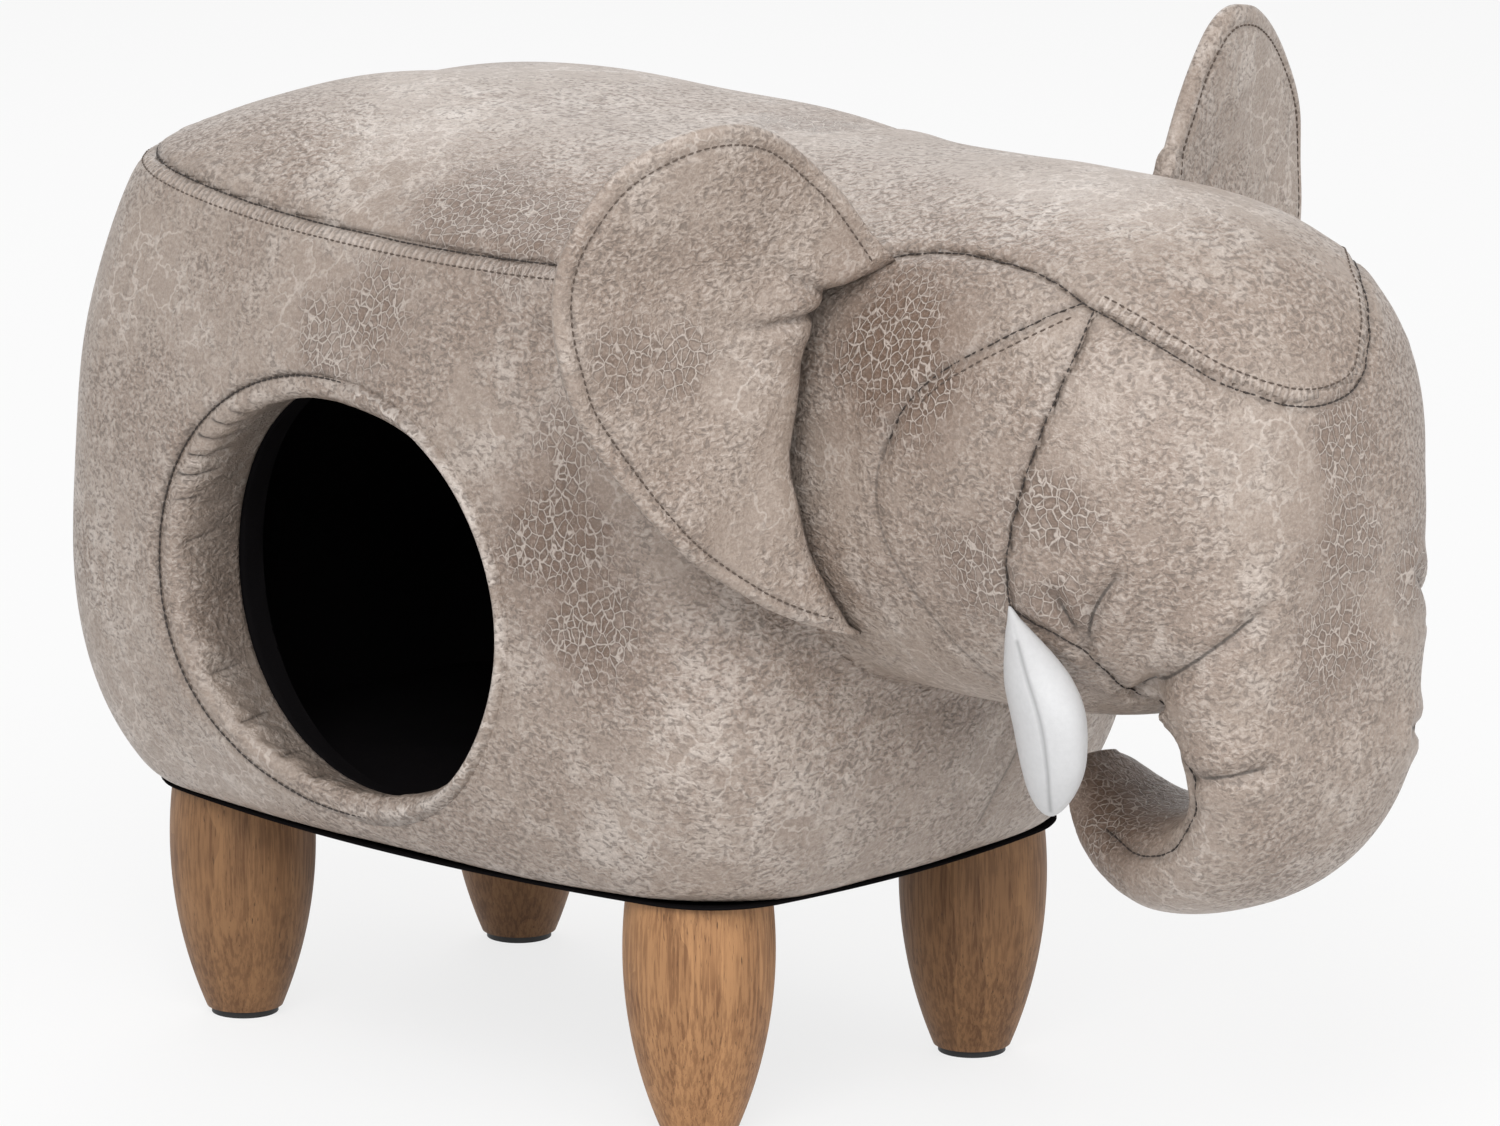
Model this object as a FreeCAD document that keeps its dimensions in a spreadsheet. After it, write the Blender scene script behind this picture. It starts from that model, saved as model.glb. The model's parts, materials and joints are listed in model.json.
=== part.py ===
import FreeCAD, Part
import math
import os

import Sketcher

# Elephant pouf: an upholstered drum with a round cave in its right flank, a stuffed
# head with trunk, ears and tusks in front, and four turned wooden legs.
# Millimetres, +Z up, the head looks along +X, the mouth of the cave opens towards -Y.
# The origin is under the middle of the whole object, on the floor.

Vector = FreeCAD.Vector
UP = Vector(0, 0, 1)

os.makedirs("parts", exist_ok=True)
doc = FreeCAD.newDocument("elephant_pouf")
sheet = doc.addObject("Spreadsheet::Sheet", "Sizes")


class Size:
    """A number together with the expression that reads it from the sheet."""

    def __init__(self, number, text):
        self.number = number
        self.text = text

    def _join(self, other, sign, number):
        return Size(number, "(%s %s %s)" % (self.text, sign, as_size(other).text))

    def __add__(self, other):
        return self._join(other, "+", self.number + as_size(other).number)

    def __sub__(self, other):
        return self._join(other, "-", self.number - as_size(other).number)

    def __mul__(self, other):
        return self._join(other, "*", self.number * as_size(other).number)

    def __truediv__(self, other):
        return self._join(other, "/", self.number / as_size(other).number)

    def __neg__(self):
        return Size(-self.number, "(-%s)" % self.text)

    def __float__(self):
        return float(self.number)


def as_size(value):
    if isinstance(value, Size):
        return value
    return Size(value, "(%s)" % repr(value))


rows = []


def size(name, number):
    """Write one driving dimension into the sheet and hand it back."""
    rows.append(name)
    row = len(rows)
    sheet.set("A%d" % row, name)
    sheet.set("B%d" % row, str(number))
    sheet.setAlias("B%d" % row, name)
    return Size(number, "Sizes." + name)


# Clearances
soft_gap = size("soft_gap", 0.3)
bolt_gap = size("bolt_gap", 0.3)

# Plan of the drum at its widest: a rounded rectangle with bowed sides
drum_half_length = size("drum_half_length", 208)
drum_half_width = size("drum_half_width", 157)
flank_radius = size("flank_radius", 728)
end_radius = size("end_radius", 478)
corner_radius = size("corner_radius", 60)

# Profile of the drum: how far hem and seat seam draw in from the widest line
hem_inset = size("hem_inset", 29)
seam_inset = size("seam_inset", 23.5)
hem_power = size("hem_power", 3.3)
seam_power = size("seam_power", 2.4)
bulge_rise = size("bulge_rise", 114)
seam_rise = size("seam_rise", 6)
crown_rise = size("crown_rise", 39)

# Boards, wall and skins
cover_thickness = size("cover_thickness", 1.2)
hem_fold_width = size("hem_fold_width", 24)
dust_cover_thickness = size("dust_cover_thickness", 1)
dust_cover_inset = size("dust_cover_inset", 6)
base_thickness = size("base_thickness", 15)
seat_board_thickness = size("seat_board_thickness", 12)
board_inset = size("board_inset", 9)
wall_thickness = size("wall_thickness", 8)
wall_height = size("wall_height", 223)
lining_thickness = size("lining_thickness", 1)

# Mouth of the cave
mouth_radius = size("mouth_radius", 86)
mouth_flare = size("mouth_flare", 8)
mouth_rise = size("mouth_rise", 90)
mouth_back = size("mouth_back", 9)

# Legs and their hardware
pad_thickness = size("pad_thickness", 3)
pad_radius = size("pad_radius", 14)
leg_length = size("leg_length", 97)
leg_foot_radius = size("leg_foot_radius", 16)
leg_top_radius = size("leg_top_radius", 29)
leg_side_radius = size("leg_side_radius", 189)
leg_end_inset = size("leg_end_inset", 76.5)
leg_flank_inset = size("leg_flank_inset", 75)
bolt_radius = size("bolt_radius", 3.75)
bolt_depth = size("bolt_depth", 34)
tee_flange_radius = size("tee_flange_radius", 10)
tee_flange_thickness = size("tee_flange_thickness", 1.5)
tee_barrel_wall = size("tee_barrel_wall", 1)
tee_barrel_length = size("tee_barrel_length", 10)

# Screws and staples
screw_radius = size("screw_radius", 1.5)
screw_head_radius = size("screw_head_radius", 2.8)
screw_head_depth = size("screw_head_depth", 2.5)
screw_bite = size("screw_bite", 20)
screw_flank_place = size("screw_flank_place", 68)
screw_end_place = size("screw_end_place", 42)
staple_width = size("staple_width", 10)
staple_wire = size("staple_wire", 1)
staple_leg_length = size("staple_leg_length", 9)
staple_edge_inset = size("staple_edge_inset", 6)
staple_pitch = size("staple_pitch", 34)

# Head
head_reach = size("head_reach", 186)
head_half_width = size("head_half_width", 110)
head_half_height = size("head_half_height", 103.5)
head_drop = size("head_drop", 69)
head_neck = size("head_neck", 22)
head_overlap = size("head_overlap", 70)
head_rise = size("head_rise", 2)

# Trunk
trunk_root_rise = size("trunk_root_rise", 20)
trunk_root_reach = size("trunk_root_reach", 138)
trunk_curl_reach = size("trunk_curl_reach", 189)
trunk_curl_drop = size("trunk_curl_drop", 171)
trunk_curl_radius = size("trunk_curl_radius", 75)
trunk_curl_turn = size("trunk_curl_turn", 150)
trunk_root_thickness = size("trunk_root_thickness", 106)
trunk_curl_thickness = size("trunk_curl_thickness", 50)
trunk_root_width = size("trunk_root_width", 160)
trunk_curl_width = size("trunk_curl_width", 120)
trunk_tip_width = size("trunk_tip_width", 66)
trunk_tip_thickness = size("trunk_tip_thickness", 34)

# Ears
ear_reach = size("ear_reach", 113)
ear_top = size("ear_top", 127)
ear_foot = size("ear_foot", 66)
ear_batting_thickness = size("ear_batting_thickness", 6)
ear_hem = size("ear_hem", 7)
ear_place = size("ear_place", 10)
ear_sweep = size("ear_sweep", 20)
ear_lean = size("ear_lean", 9)

# Tusks
tusk_length = size("tusk_length", 80)
tusk_width = size("tusk_width", 29)
tusk_depth = size("tusk_depth", 23)
tusk_cover_thickness = size("tusk_cover_thickness", 0.8)
tusk_back = size("tusk_back", 80)
tusk_side_inset = size("tusk_side_inset", 11)
tusk_tilt = size("tusk_tilt", 17)

# Heights that follow from the pieces that stand on each other
underside = pad_thickness + leg_length
hem_level = underside + dust_cover_thickness
base_bottom = hem_level + cover_thickness
base_top = base_bottom + base_thickness
seat_board_bottom = base_top + wall_height
seat_board_top = seat_board_bottom + seat_board_thickness
seam_level = seat_board_top + seam_rise
bulge_level = hem_level + bulge_rise
mouth_level = base_top + mouth_rise
head_level = seam_level - head_drop

# The drum stands behind the origin, so that the whole object is centred on it
drum_shift = -(trunk_curl_reach / 2)
leg_place_x = drum_half_length - leg_end_inset
leg_place_y = drum_half_width - leg_flank_inset


def values(*sizes):
    return [float(item) for item in sizes]


def bind(feature, **properties):
    """Tie properties of a document object to expressions on the sheet."""
    for name, value in properties.items():
        feature.setExpression(name, as_size(value).text)


def place(feature, x=0, y=0, z=0):
    """Tie the position of a document object, counted from the middle of the drum."""
    feature.setExpression("Placement.Base.x", (drum_shift + x).text)
    feature.setExpression("Placement.Base.y", as_size(y).text)
    feature.setExpression("Placement.Base.z", as_size(z).text)


nodes = []


def node(feature, label):
    """Enter a document object as a piece with its own file."""
    feature.Label = label
    nodes.append(feature)
    return feature


def shape_feature(label, shape):
    """Enter a free form, made around the middle of the drum, as a piece."""
    feature = doc.addObject("Part::Feature", label)
    feature.Shape = shape
    shift = FreeCAD.Placement(Vector(float(drum_shift), 0, 0), FreeCAD.Rotation())
    feature.Placement = shift.multiply(shape.Placement)
    return node(feature, label)


# Ovals of eight tangent arcs

def corner_centre(half_u, half_v, radius_u, radius_v, radius):
    """Centre of the corner arc that touches the long arc, the end arc and lies between them."""
    low = half_v - radius_u
    left = half_u - radius_v
    from_low = radius_u - radius
    from_left = radius_v - radius
    gap = math.hypot(left, low)
    along = (from_low ** 2 - from_left ** 2 + gap ** 2) / (2 * gap)
    across = math.sqrt(from_low ** 2 - along ** 2)
    unit_u = left / gap
    unit_v = -low / gap
    first = (along * unit_u - across * unit_v, low + along * unit_v + across * unit_u)
    second = (along * unit_u + across * unit_v, low + along * unit_v - across * unit_u)
    return max(first, second, key=lambda point: point[0] + point[1])


def oval_points(half_u, half_v, radius_u, radius_v, radius, inset):
    """Ends and middles of the arcs of an oval drawn in by an inset, in one quarter."""
    cu, cv = corner_centre(half_u, half_v, radius_u, radius_v, radius)
    low = half_v - radius_u
    left = half_u - radius_v
    turn_v = math.atan2(cv - low, cu)
    turn_u = math.atan2(cv, cu - left)
    middle = (turn_u + turn_v) / 2
    long_radius = radius_u - inset
    end_arc_radius = radius_v - inset
    small = radius - inset
    top = (0, low + long_radius)
    join_v = (long_radius * math.cos(turn_v), low + long_radius * math.sin(turn_v))
    bend = (cu + small * math.cos(middle), cv + small * math.sin(middle))
    join_u = (left + end_arc_radius * math.cos(turn_u), end_arc_radius * math.sin(turn_u))
    side = (left + end_arc_radius, 0)
    return top, join_v, bend, join_u, side


def oval_wire(centre, unit_u, unit_v, points):
    """Closed wire of eight arcs around a centre, in the plane of two unit vectors."""
    top, join_v, bend, join_u, side = points

    def spot(point, sign_u, sign_v):
        return centre + unit_u * (sign_u * point[0]) + unit_v * (sign_v * point[1])

    arcs = [
        (spot(join_v, -1, 1), spot(top, 1, 1), spot(join_v, 1, 1)),
        (spot(join_v, 1, 1), spot(bend, 1, 1), spot(join_u, 1, 1)),
        (spot(join_u, 1, 1), spot(side, 1, 1), spot(join_u, 1, -1)),
        (spot(join_u, 1, -1), spot(bend, 1, -1), spot(join_v, 1, -1)),
        (spot(join_v, 1, -1), spot(top, 1, -1), spot(join_v, -1, -1)),
        (spot(join_v, -1, -1), spot(bend, -1, -1), spot(join_u, -1, -1)),
        (spot(join_u, -1, -1), spot(side, -1, 1), spot(join_u, -1, 1)),
        (spot(join_u, -1, 1), spot(bend, -1, 1), spot(join_v, -1, 1)),
    ]
    return Part.Wire([Part.Arc(*arc).toShape() for arc in arcs])


def soft_oval(centre, unit_u, unit_v, half_u, half_v):
    """Oval between an ellipse and a rounded rectangle, for a stuffed form."""
    bow = 1.5
    end_share = 1.25
    corner_share = 0.7
    if half_u < half_v:
        unit_u, unit_v = unit_v, -unit_u
        half_u, half_v = half_v, half_u
        turned_quarter = True
    else:
        turned_quarter = False
    points = oval_points(half_u, half_v, bow * half_u ** 2 / half_v, end_share * half_v,
                         corner_share * half_v, 0)
    wire = oval_wire(centre, unit_u, unit_v, points)
    if turned_quarter:
        edges = wire.OrderedEdges
        wire = Part.Wire(edges[2:] + edges[:2])
    return wire


def drum_points(inset, shrink):
    """Plan of the drum where its profile draws in by an inset, made smaller by a thickness."""
    half_length, half_width, flank, end, corner = values(
        drum_half_length, drum_half_width, flank_radius, end_radius, corner_radius)
    return oval_points(half_length - inset, half_width - inset, flank, end, corner, shrink)


def drum_wire(inset, shrink, level, share=1.0):
    points = [(u * share, v * share) for u, v in drum_points(inset, shrink)]
    return oval_wire(Vector(0, 0, level), Vector(1, 0, 0), Vector(0, 1, 0), points)


def board_prism(inset, low, high):
    """A flat slab with the outline of the hem, drawn in by an inset."""
    face = Part.Face(drum_wire(float(hem_inset), inset, low))
    return face.extrude(Vector(0, 0, high - low))


def profile_inset(level):
    """How far the cover lies inside its widest line at a level."""
    bulge = float(bulge_level)
    if level < bulge:
        share = (bulge - level) / (bulge - float(hem_level))
        return float(hem_inset) * share ** float(hem_power)
    share = (level - bulge) / (float(seam_level) - bulge)
    return float(seam_inset) * share ** float(seam_power)


def barrel(shrink, low, high):
    """The drum between hem and seat seam, drawn in by a thickness."""
    steps = 10
    levels = [low + (high - low) * step / steps for step in range(steps + 1)]
    wires = [drum_wire(profile_inset(level), shrink, level) for level in levels]
    return Part.makeLoft(wires, True)


def crown(shrink, low):
    """The domed seat above the seam, drawn in by a thickness."""
    shares = [1.0, 0.95, 0.88, 0.79, 0.68, 0.55, 0.4, 0.24, 0.1]
    wires = []
    for share in shares:
        level = low + (float(crown_rise) - shrink) * (1 - share ** 3)
        wires.append(drum_wire(float(seam_inset), shrink, level, share))
    return Part.makeLoft(wires, True)


# Turned pieces: a closed profile of a radius and a height, revolved about the Z axis

def turned(label, profile, arc_edge=None, arc_radius=None):
    """A body of revolution; each corner of its profile is tied to the sheet."""
    body = doc.addObject("PartDesign::Body", label)
    sketch = body.newObject("Sketcher::SketchObject", label + "_profile")
    plane = [item for item in body.Origin.OriginFeatures if item.Role == "XZ_Plane"][0]
    sketch.AttachmentSupport = [(plane, "")]
    sketch.MapMode = "FlatFace"
    corners = [(as_size(radius), as_size(height)) for radius, height in profile]
    count = len(corners)
    for index in range(count):
        start = Vector(float(corners[index][0]), float(corners[index][1]), 0)
        stop_corner = corners[(index + 1) % count]
        stop = Vector(float(stop_corner[0]), float(stop_corner[1]), 0)
        if index == arc_edge:
            chord = stop - start
            half = chord.Length / 2
            reach = float(arc_radius)
            outward = Vector(chord.y, -chord.x, 0).normalize()
            rise = reach - math.sqrt(reach ** 2 - half ** 2)
            middle = (start + stop) * 0.5 + outward * rise
            sketch.addGeometry(Part.Arc(start, middle, stop), False)
        else:
            sketch.addGeometry(Part.LineSegment(start, stop), False)
    for index in range(count):
        following = (index + 1) % count
        sketch.addConstraint(Sketcher.Constraint("Coincident", index, 2, following, 1))
    for index, (radius, height) in enumerate(corners):
        if float(radius) == 0:
            sketch.addConstraint(Sketcher.Constraint("PointOnObject", index, 1, -2))
        else:
            number = sketch.addConstraint(
                Sketcher.Constraint("DistanceX", -1, 1, index, 1, float(radius)))
            sketch.setExpression("Constraints[%d]" % number, radius.text)
        if float(height) == 0:
            sketch.addConstraint(Sketcher.Constraint("PointOnObject", index, 1, -1))
        else:
            number = sketch.addConstraint(
                Sketcher.Constraint("DistanceY", -1, 1, index, 1, float(height)))
            sketch.setExpression("Constraints[%d]" % number, height.text)
    if arc_edge is not None:
        number = sketch.addConstraint(Sketcher.Constraint("Radius", arc_edge, float(arc_radius)))
        sketch.setExpression("Constraints[%d]" % number, arc_radius.text)
    revolution = body.newObject("PartDesign::Revolution", label + "_turning")
    revolution.Profile = sketch
    revolution.ReferenceAxis = (sketch, ["V_Axis"])
    revolution.Angle = 360
    return body


# Legs: pad under the foot, turned leg, and the bolt that screws it to the base board
leg_corners = [("front_right", 1, -1), ("front_left", 1, 1), ("rear_right", -1, -1), ("rear_left", -1, 1)]
bolt_reach = base_top - underside
for name, side_x, side_y in leg_corners:
    x = leg_place_x * side_x
    y = leg_place_y * side_y
    pad = doc.addObject("Part::Cylinder", "foot_pad_" + name)
    bind(pad, Radius=pad_radius, Height=pad_thickness)
    place(pad, x, y)
    node(pad, "foot_pad_" + name)
    leg = turned("leg_" + name, [
        (0, 0), (leg_foot_radius, 0), (leg_top_radius, leg_length), (bolt_radius, leg_length),
        (bolt_radius, leg_length - bolt_depth), (0, leg_length - bolt_depth),
    ], 1, leg_side_radius)
    place(leg, x, y, pad_thickness)
    node(leg, "leg_" + name)
    bolt = doc.addObject("Part::Cylinder", "hanger_bolt_" + name)
    bind(bolt, Radius=bolt_radius, Height=bolt_depth + bolt_reach)
    place(bolt, x, y, underside - bolt_depth)
    node(bolt, "hanger_bolt_" + name)
doc.recompute()

# Forms that several pieces are cut by
hem, seam, base_low, base_high, seat_low, seat_high = values(
    hem_level, seam_level, base_bottom, base_top, seat_board_bottom, seat_board_top)
gap, skin = values(soft_gap, cover_thickness)
drum_outside = barrel(0, hem, seam)
crown_outside = crown(0, seam)

# Mouth: a round funnel along Y, wider at the flank
inner_face = float(drum_half_width - hem_inset - board_inset - wall_thickness)
funnel_spare = 12
funnel_start = inner_face - funnel_spare
funnel_end = float(drum_half_width) + funnel_spare


def funnel(grow):
    slope = float(mouth_flare) / (float(drum_half_width) - inner_face)
    narrow = float(mouth_radius) + grow - slope * (inner_face - funnel_start)
    wide = float(mouth_radius) + grow + slope * (funnel_end - inner_face)
    return Part.makeCone(narrow, wide, funnel_end - funnel_start,
                         Vector(-float(mouth_back), -funnel_start, float(mouth_level)), Vector(0, -1, 0))


mouth_cut = funnel(skin + gap)

# Screws: a row through each board into the edges of the bent wall
wall_middle = float(board_inset + wall_thickness / 2)


def outline_point(inset, along_x=None, along_y=None):
    """Point of the hem outline drawn in by an inset, at a given x on a flank or y on an end."""
    if along_x is not None:
        reach = float(flank_radius) - inset
        middle = float(drum_half_width - hem_inset - flank_radius)
        return along_x, middle + math.sqrt(reach ** 2 - along_x ** 2)
    reach = float(end_radius) - inset
    middle = float(drum_half_length - hem_inset - end_radius)
    return middle + math.sqrt(reach ** 2 - along_y ** 2), along_y


def screw(x, y, face, direction):
    """Flat-headed screw with its head sunk flush into a board's outer face."""
    along = Vector(0, 0, direction)
    board = base_thickness if direction > 0 else seat_board_thickness
    head = Part.makeCylinder(float(screw_head_radius), float(screw_head_depth), Vector(x, y, face), along)
    start = Vector(x, y, face + direction * float(screw_head_depth))
    shank = Part.makeCylinder(float(screw_radius), float(board + screw_bite - screw_head_depth), start, along)
    return head.fuse(shank)


screw_spots = []
for side_x in (1, -1):
    for side_y in (1, -1):
        x, y = outline_point(wall_middle, along_x=float(screw_flank_place))
        screw_spots.append((side_x * x, side_y * y))
        x, y = outline_point(wall_middle, along_y=float(screw_end_place))
        screw_spots.append((side_x * x, side_y * y))
base_screws = Part.makeCompound([screw(x, y, base_low, 1) for x, y in screw_spots])
seat_screws = Part.makeCompound([screw(x, y, seat_high, -1) for x, y in screw_spots])

# Staples: a row around the edge of the dust cover, clear of the legs
staple_inset = float(dust_cover_inset + staple_edge_inset)


def staple(x, y, turn):
    wide, wire, long = values(staple_width, staple_wire, staple_leg_length)
    back = Part.makeBox(wide, wire, wire, Vector(-wide / 2, -wire / 2, -wire))
    shape = back
    for side in (-wide / 2, wide / 2 - wire):
        shape = shape.fuse(Part.makeBox(wire, wire, long, Vector(side, -wire / 2, 0)))
    shape = shape.removeSplitter()
    shape.rotate(Vector(0, 0, 0), UP, turn)
    shape.translate(Vector(x, y, float(underside)))
    return shape


staples = []
leg_clear = float(leg_top_radius) + float(staple_width)
reach_x = float(leg_place_x) - leg_clear
reach_y = float(leg_place_y) - leg_clear
count_x = int(2 * reach_x // float(staple_pitch))
count_y = int(2 * reach_y // float(staple_pitch))
for index in range(count_x + 1):
    x, y = outline_point(staple_inset, along_x=(index - count_x / 2) * float(staple_pitch))
    staples.append(staple(x, y, 0))
    staples.append(staple(x, -y, 0))
for index in range(count_y + 1):
    x, y = outline_point(staple_inset, along_y=(index - count_y / 2) * float(staple_pitch))
    staples.append(staple(x, y, 90))
    staples.append(staple(-x, y, 90))
staples = Part.makeCompound(staples)

# Tee nuts: flange on the base board, barrel down into it
barrel_bore = float(bolt_radius + bolt_gap)
barrel_outside = barrel_bore + float(tee_barrel_wall)
leg_spots = [(float(leg_place_x) * sx, float(leg_place_y) * sy) for _, sx, sy in leg_corners]
tee_nuts = []
for x, y in leg_spots:
    flange = Part.makeCylinder(float(tee_flange_radius), float(tee_flange_thickness), Vector(x, y, base_high))
    sleeve = Part.makeCylinder(barrel_outside, float(tee_barrel_length),
                               Vector(x, y, base_high - float(tee_barrel_length)))
    bore = Part.makeCylinder(barrel_bore, float(base_thickness) + 2 * float(tee_flange_thickness),
                             Vector(x, y, base_low))
    tee_nuts.append(flange.fuse(sleeve).cut(bore).removeSplitter())
tee_nuts = Part.makeCompound(tee_nuts)


def bolt_holes(radius, low, high):
    return Part.makeCompound([
        Part.makeCylinder(radius, high - low, Vector(x, y, low)) for x, y in leg_spots])


# Boards and wall
base_board = board_prism(float(board_inset), base_low, base_high)
base_board = base_board.cut(bolt_holes(barrel_outside, base_low, base_high))
base_board = base_board.cut(base_screws).cut(staples)
shape_feature("base_board", base_board)
seat_board = board_prism(float(board_inset), seat_low, seat_high).cut(seat_screws)
shape_feature("seat_board", seat_board)
wall_inside = float(board_inset + wall_thickness)
side_wall = board_prism(float(board_inset), base_high, seat_low)
side_wall = side_wall.cut(board_prism(wall_inside, base_high, seat_low))
side_wall = side_wall.cut(mouth_cut).cut(base_screws).cut(seat_screws)
shape_feature("side_wall", side_wall)
shape_feature("base_screws", base_screws)
shape_feature("seat_screws", seat_screws)
shape_feature("tee_nuts", tee_nuts)

# Dust cover and its staples
dust_cover = board_prism(float(dust_cover_inset), float(underside), hem)
dust_cover = dust_cover.cut(bolt_holes(barrel_bore, float(underside), hem)).cut(staples)
shape_feature("dust_cover", dust_cover)
shape_feature("hem_staples", staples)

# Lining of the cave: a black cloth box inside the wall, open at the mouth
lining_low = base_high + float(tee_flange_thickness) + gap
lining_high = seat_low - gap
lining = board_prism(wall_inside + gap, lining_low, lining_high)
thread = float(lining_thickness)
lining_space = board_prism(wall_inside + gap + thread, lining_low + thread, lining_high - thread)
lining_outside = board_prism(wall_inside, lining_low, lining_high)
shape_feature("cave_lining", lining.cut(lining_space).cut(funnel(0)))

# Sleeve of the mouth, from the lining out to the flank
sleeve = funnel(skin).cut(funnel(0)).common(drum_outside).cut(lining_outside)
shape_feature("mouth_sleeve", sleeve)

# Foam around the wall and on the seat
side_foam = barrel(skin + gap, base_low + gap, seat_high)
side_foam = side_foam.cut(board_prism(float(board_inset) - gap, base_low, seat_high))
side_foam = side_foam.cut(mouth_cut)
shape_feature("side_foam", side_foam)
seat_edge = Part.Face(drum_wire(float(seam_inset), skin + gap, seat_high))
seat_edge = seat_edge.extrude(Vector(0, 0, seam - seat_high))
seat_foam = crown(skin + gap, seam).fuse(seat_edge).removeSplitter()
shape_feature("seat_foam", seat_foam)

# Covers
side_cover = drum_outside.cut(barrel(skin, base_low, seam))
side_cover = side_cover.cut(board_prism(float(hem_fold_width), hem, base_low))
side_cover = side_cover.cut(board_prism(float(board_inset), base_low, seam))
side_cover = side_cover.cut(mouth_cut).cut(staples).cut(bolt_holes(barrel_bore, hem, base_low))
shape_feature("side_cover", side_cover)
seat_cover = crown_outside.cut(crown(skin, seam))
shape_feature("seat_cover", seat_cover)

# Head: a stuffed form that swells behind the neck and rounds off to the face
head_start = float(drum_half_length - head_overlap)
head_front = float(drum_half_length + head_reach)
head_widest = float(drum_half_length + head_neck)


def head_form(grow):
    neck_taper = 0.2
    face_power = 3.5
    face_root = 2.2
    front = head_front + grow
    stations = [head_start, head_start + (head_widest - head_start) * 0.45, head_widest]
    stations += [head_widest + (front - head_widest) * share
                 for share in (0.25, 0.48, 0.67, 0.82, 0.92, 0.975, 0.997)]
    wires = []
    for x in stations:
        if x <= head_widest:
            share = (head_widest - x) / (head_widest - head_start)
            swell = 1 - neck_taper * share ** 2
        else:
            share = (x - head_widest) / (front - head_widest)
            swell = (1 - share ** face_power) ** (1 / face_root)
        rise = float(head_rise) * (x - head_widest) / (front - head_widest)
        centre = Vector(x, 0, float(head_level) + rise)
        wires.append(soft_oval(centre, Vector(0, 0, 1), Vector(0, 1, 0),
                               (float(head_half_height) + grow) * swell,
                               (float(head_half_width) + grow) * swell))
    return Part.makeLoft(wires, True)


drum_clear = barrel(-gap, hem, seam).fuse(crown(-gap, seam))
head_outside = head_form(0)
head_inside = head_form(-skin)
shape_feature("head_cover", head_outside.cut(head_inside).cut(drum_clear))
shape_feature("head_stuffing", head_form(-skin - gap).cut(drum_clear))

# Trunk: it hangs from the face, thins out and curls back under the chin
curl_x = float(drum_half_length + trunk_curl_reach) - float(trunk_curl_radius)
curl_z = float(seam_level - trunk_curl_drop)


def trunk_form(shrink):
    root_shrink = 0.22
    root_share = 0.4
    drop_power = 1.2
    fade_start = 0.6
    fade_length = 0.42
    root = Vector(float(drum_half_length + trunk_root_reach), 0, float(head_level + trunk_root_rise))
    radius = float(trunk_curl_radius)
    bend = Vector(curl_x + radius - float(trunk_curl_thickness) / 2, 0, curl_z)
    wires = []
    drop_steps = 5
    for step in range(drop_steps):
        share = step / drop_steps
        centre = root + (bend - root) * share
        sunk = 1 - root_shrink * max(0.0, 1 - share / root_share) ** 2
        ease = (1 - share) ** drop_power
        thick = float(trunk_curl_thickness) + float(trunk_root_thickness - trunk_curl_thickness) * ease
        wide = float(trunk_curl_width) + float(trunk_root_width - trunk_curl_width) * (1 - share)
        wires.append(soft_oval(centre, Vector(1, 0, 0), Vector(0, 1, 0),
                               thick * sunk / 2 - shrink, wide * sunk / 2 - shrink))
    turn_steps = 7
    for step in range(turn_steps + 1):
        share = step / turn_steps
        angle = math.radians(float(trunk_curl_turn)) * share
        outward = Vector(math.cos(angle), 0, -math.sin(angle))
        fade = (1 - max(0.0, share - fade_start) / fade_length) ** 0.5
        taper = float(trunk_curl_thickness) + float(trunk_tip_thickness - trunk_curl_thickness) * share
        thick = taper * fade
        centre = Vector(curl_x, 0, curl_z) + outward * (radius - taper / 2)
        wide = float(trunk_curl_width) + float(trunk_tip_width - trunk_curl_width) * share
        wires.append(soft_oval(centre, outward, Vector(0, 1, 0),
                               thick / 2 - shrink, wide / 2 * fade ** 0.5 - shrink))
    return Part.makeLoft(wires, True)


head_clear = head_form(gap)
trunk_outside = trunk_form(0)
shape_feature("trunk_cover", trunk_outside.cut(trunk_form(skin)).cut(head_clear))
shape_feature("trunk_stuffing", trunk_form(skin + gap).cut(head_clear))

# Ears: two sewn panels with batting between them, swung about a root roll beside the head
ear_half = float(ear_batting_thickness) / 2


def ear_outline(inset, root):
    """Outline of an ear in its own plane: q runs outwards from the root, z up along it."""
    reach, top, foot = values(ear_reach, ear_top, ear_foot)
    corners = [
        (root, top * 0.57 - inset), (reach * 0.12, top * 0.81 - inset), (reach * 0.42, top - inset),
        (reach * 0.86 - inset * 0.7, top * 0.835 - inset * 0.7), (reach - inset, top * 0.47),
        (reach * 0.87 - inset * 0.9, top * 0.07), (reach * 0.51 - inset * 0.6, -foot * 0.56 + inset * 0.7),
        (reach * 0.27 - inset * 0.3, -foot * 0.86 + inset * 0.9), (root, -foot + inset),
    ]
    spots = [Vector(0, -q, z) for q, z in corners]
    edges = [Part.Arc(spots[i], spots[i + 1], spots[i + 2]).toShape() for i in (0, 2, 4, 6)]
    edges.append(Part.LineSegment(spots[8], spots[0]).toShape())
    return Part.Face(Part.Wire(edges))


def ear_layer(inset, root, start, thickness):
    face = ear_outline(inset, root)
    face.translate(Vector(start, 0, 0))
    return face.extrude(Vector(thickness, 0, 0))


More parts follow.
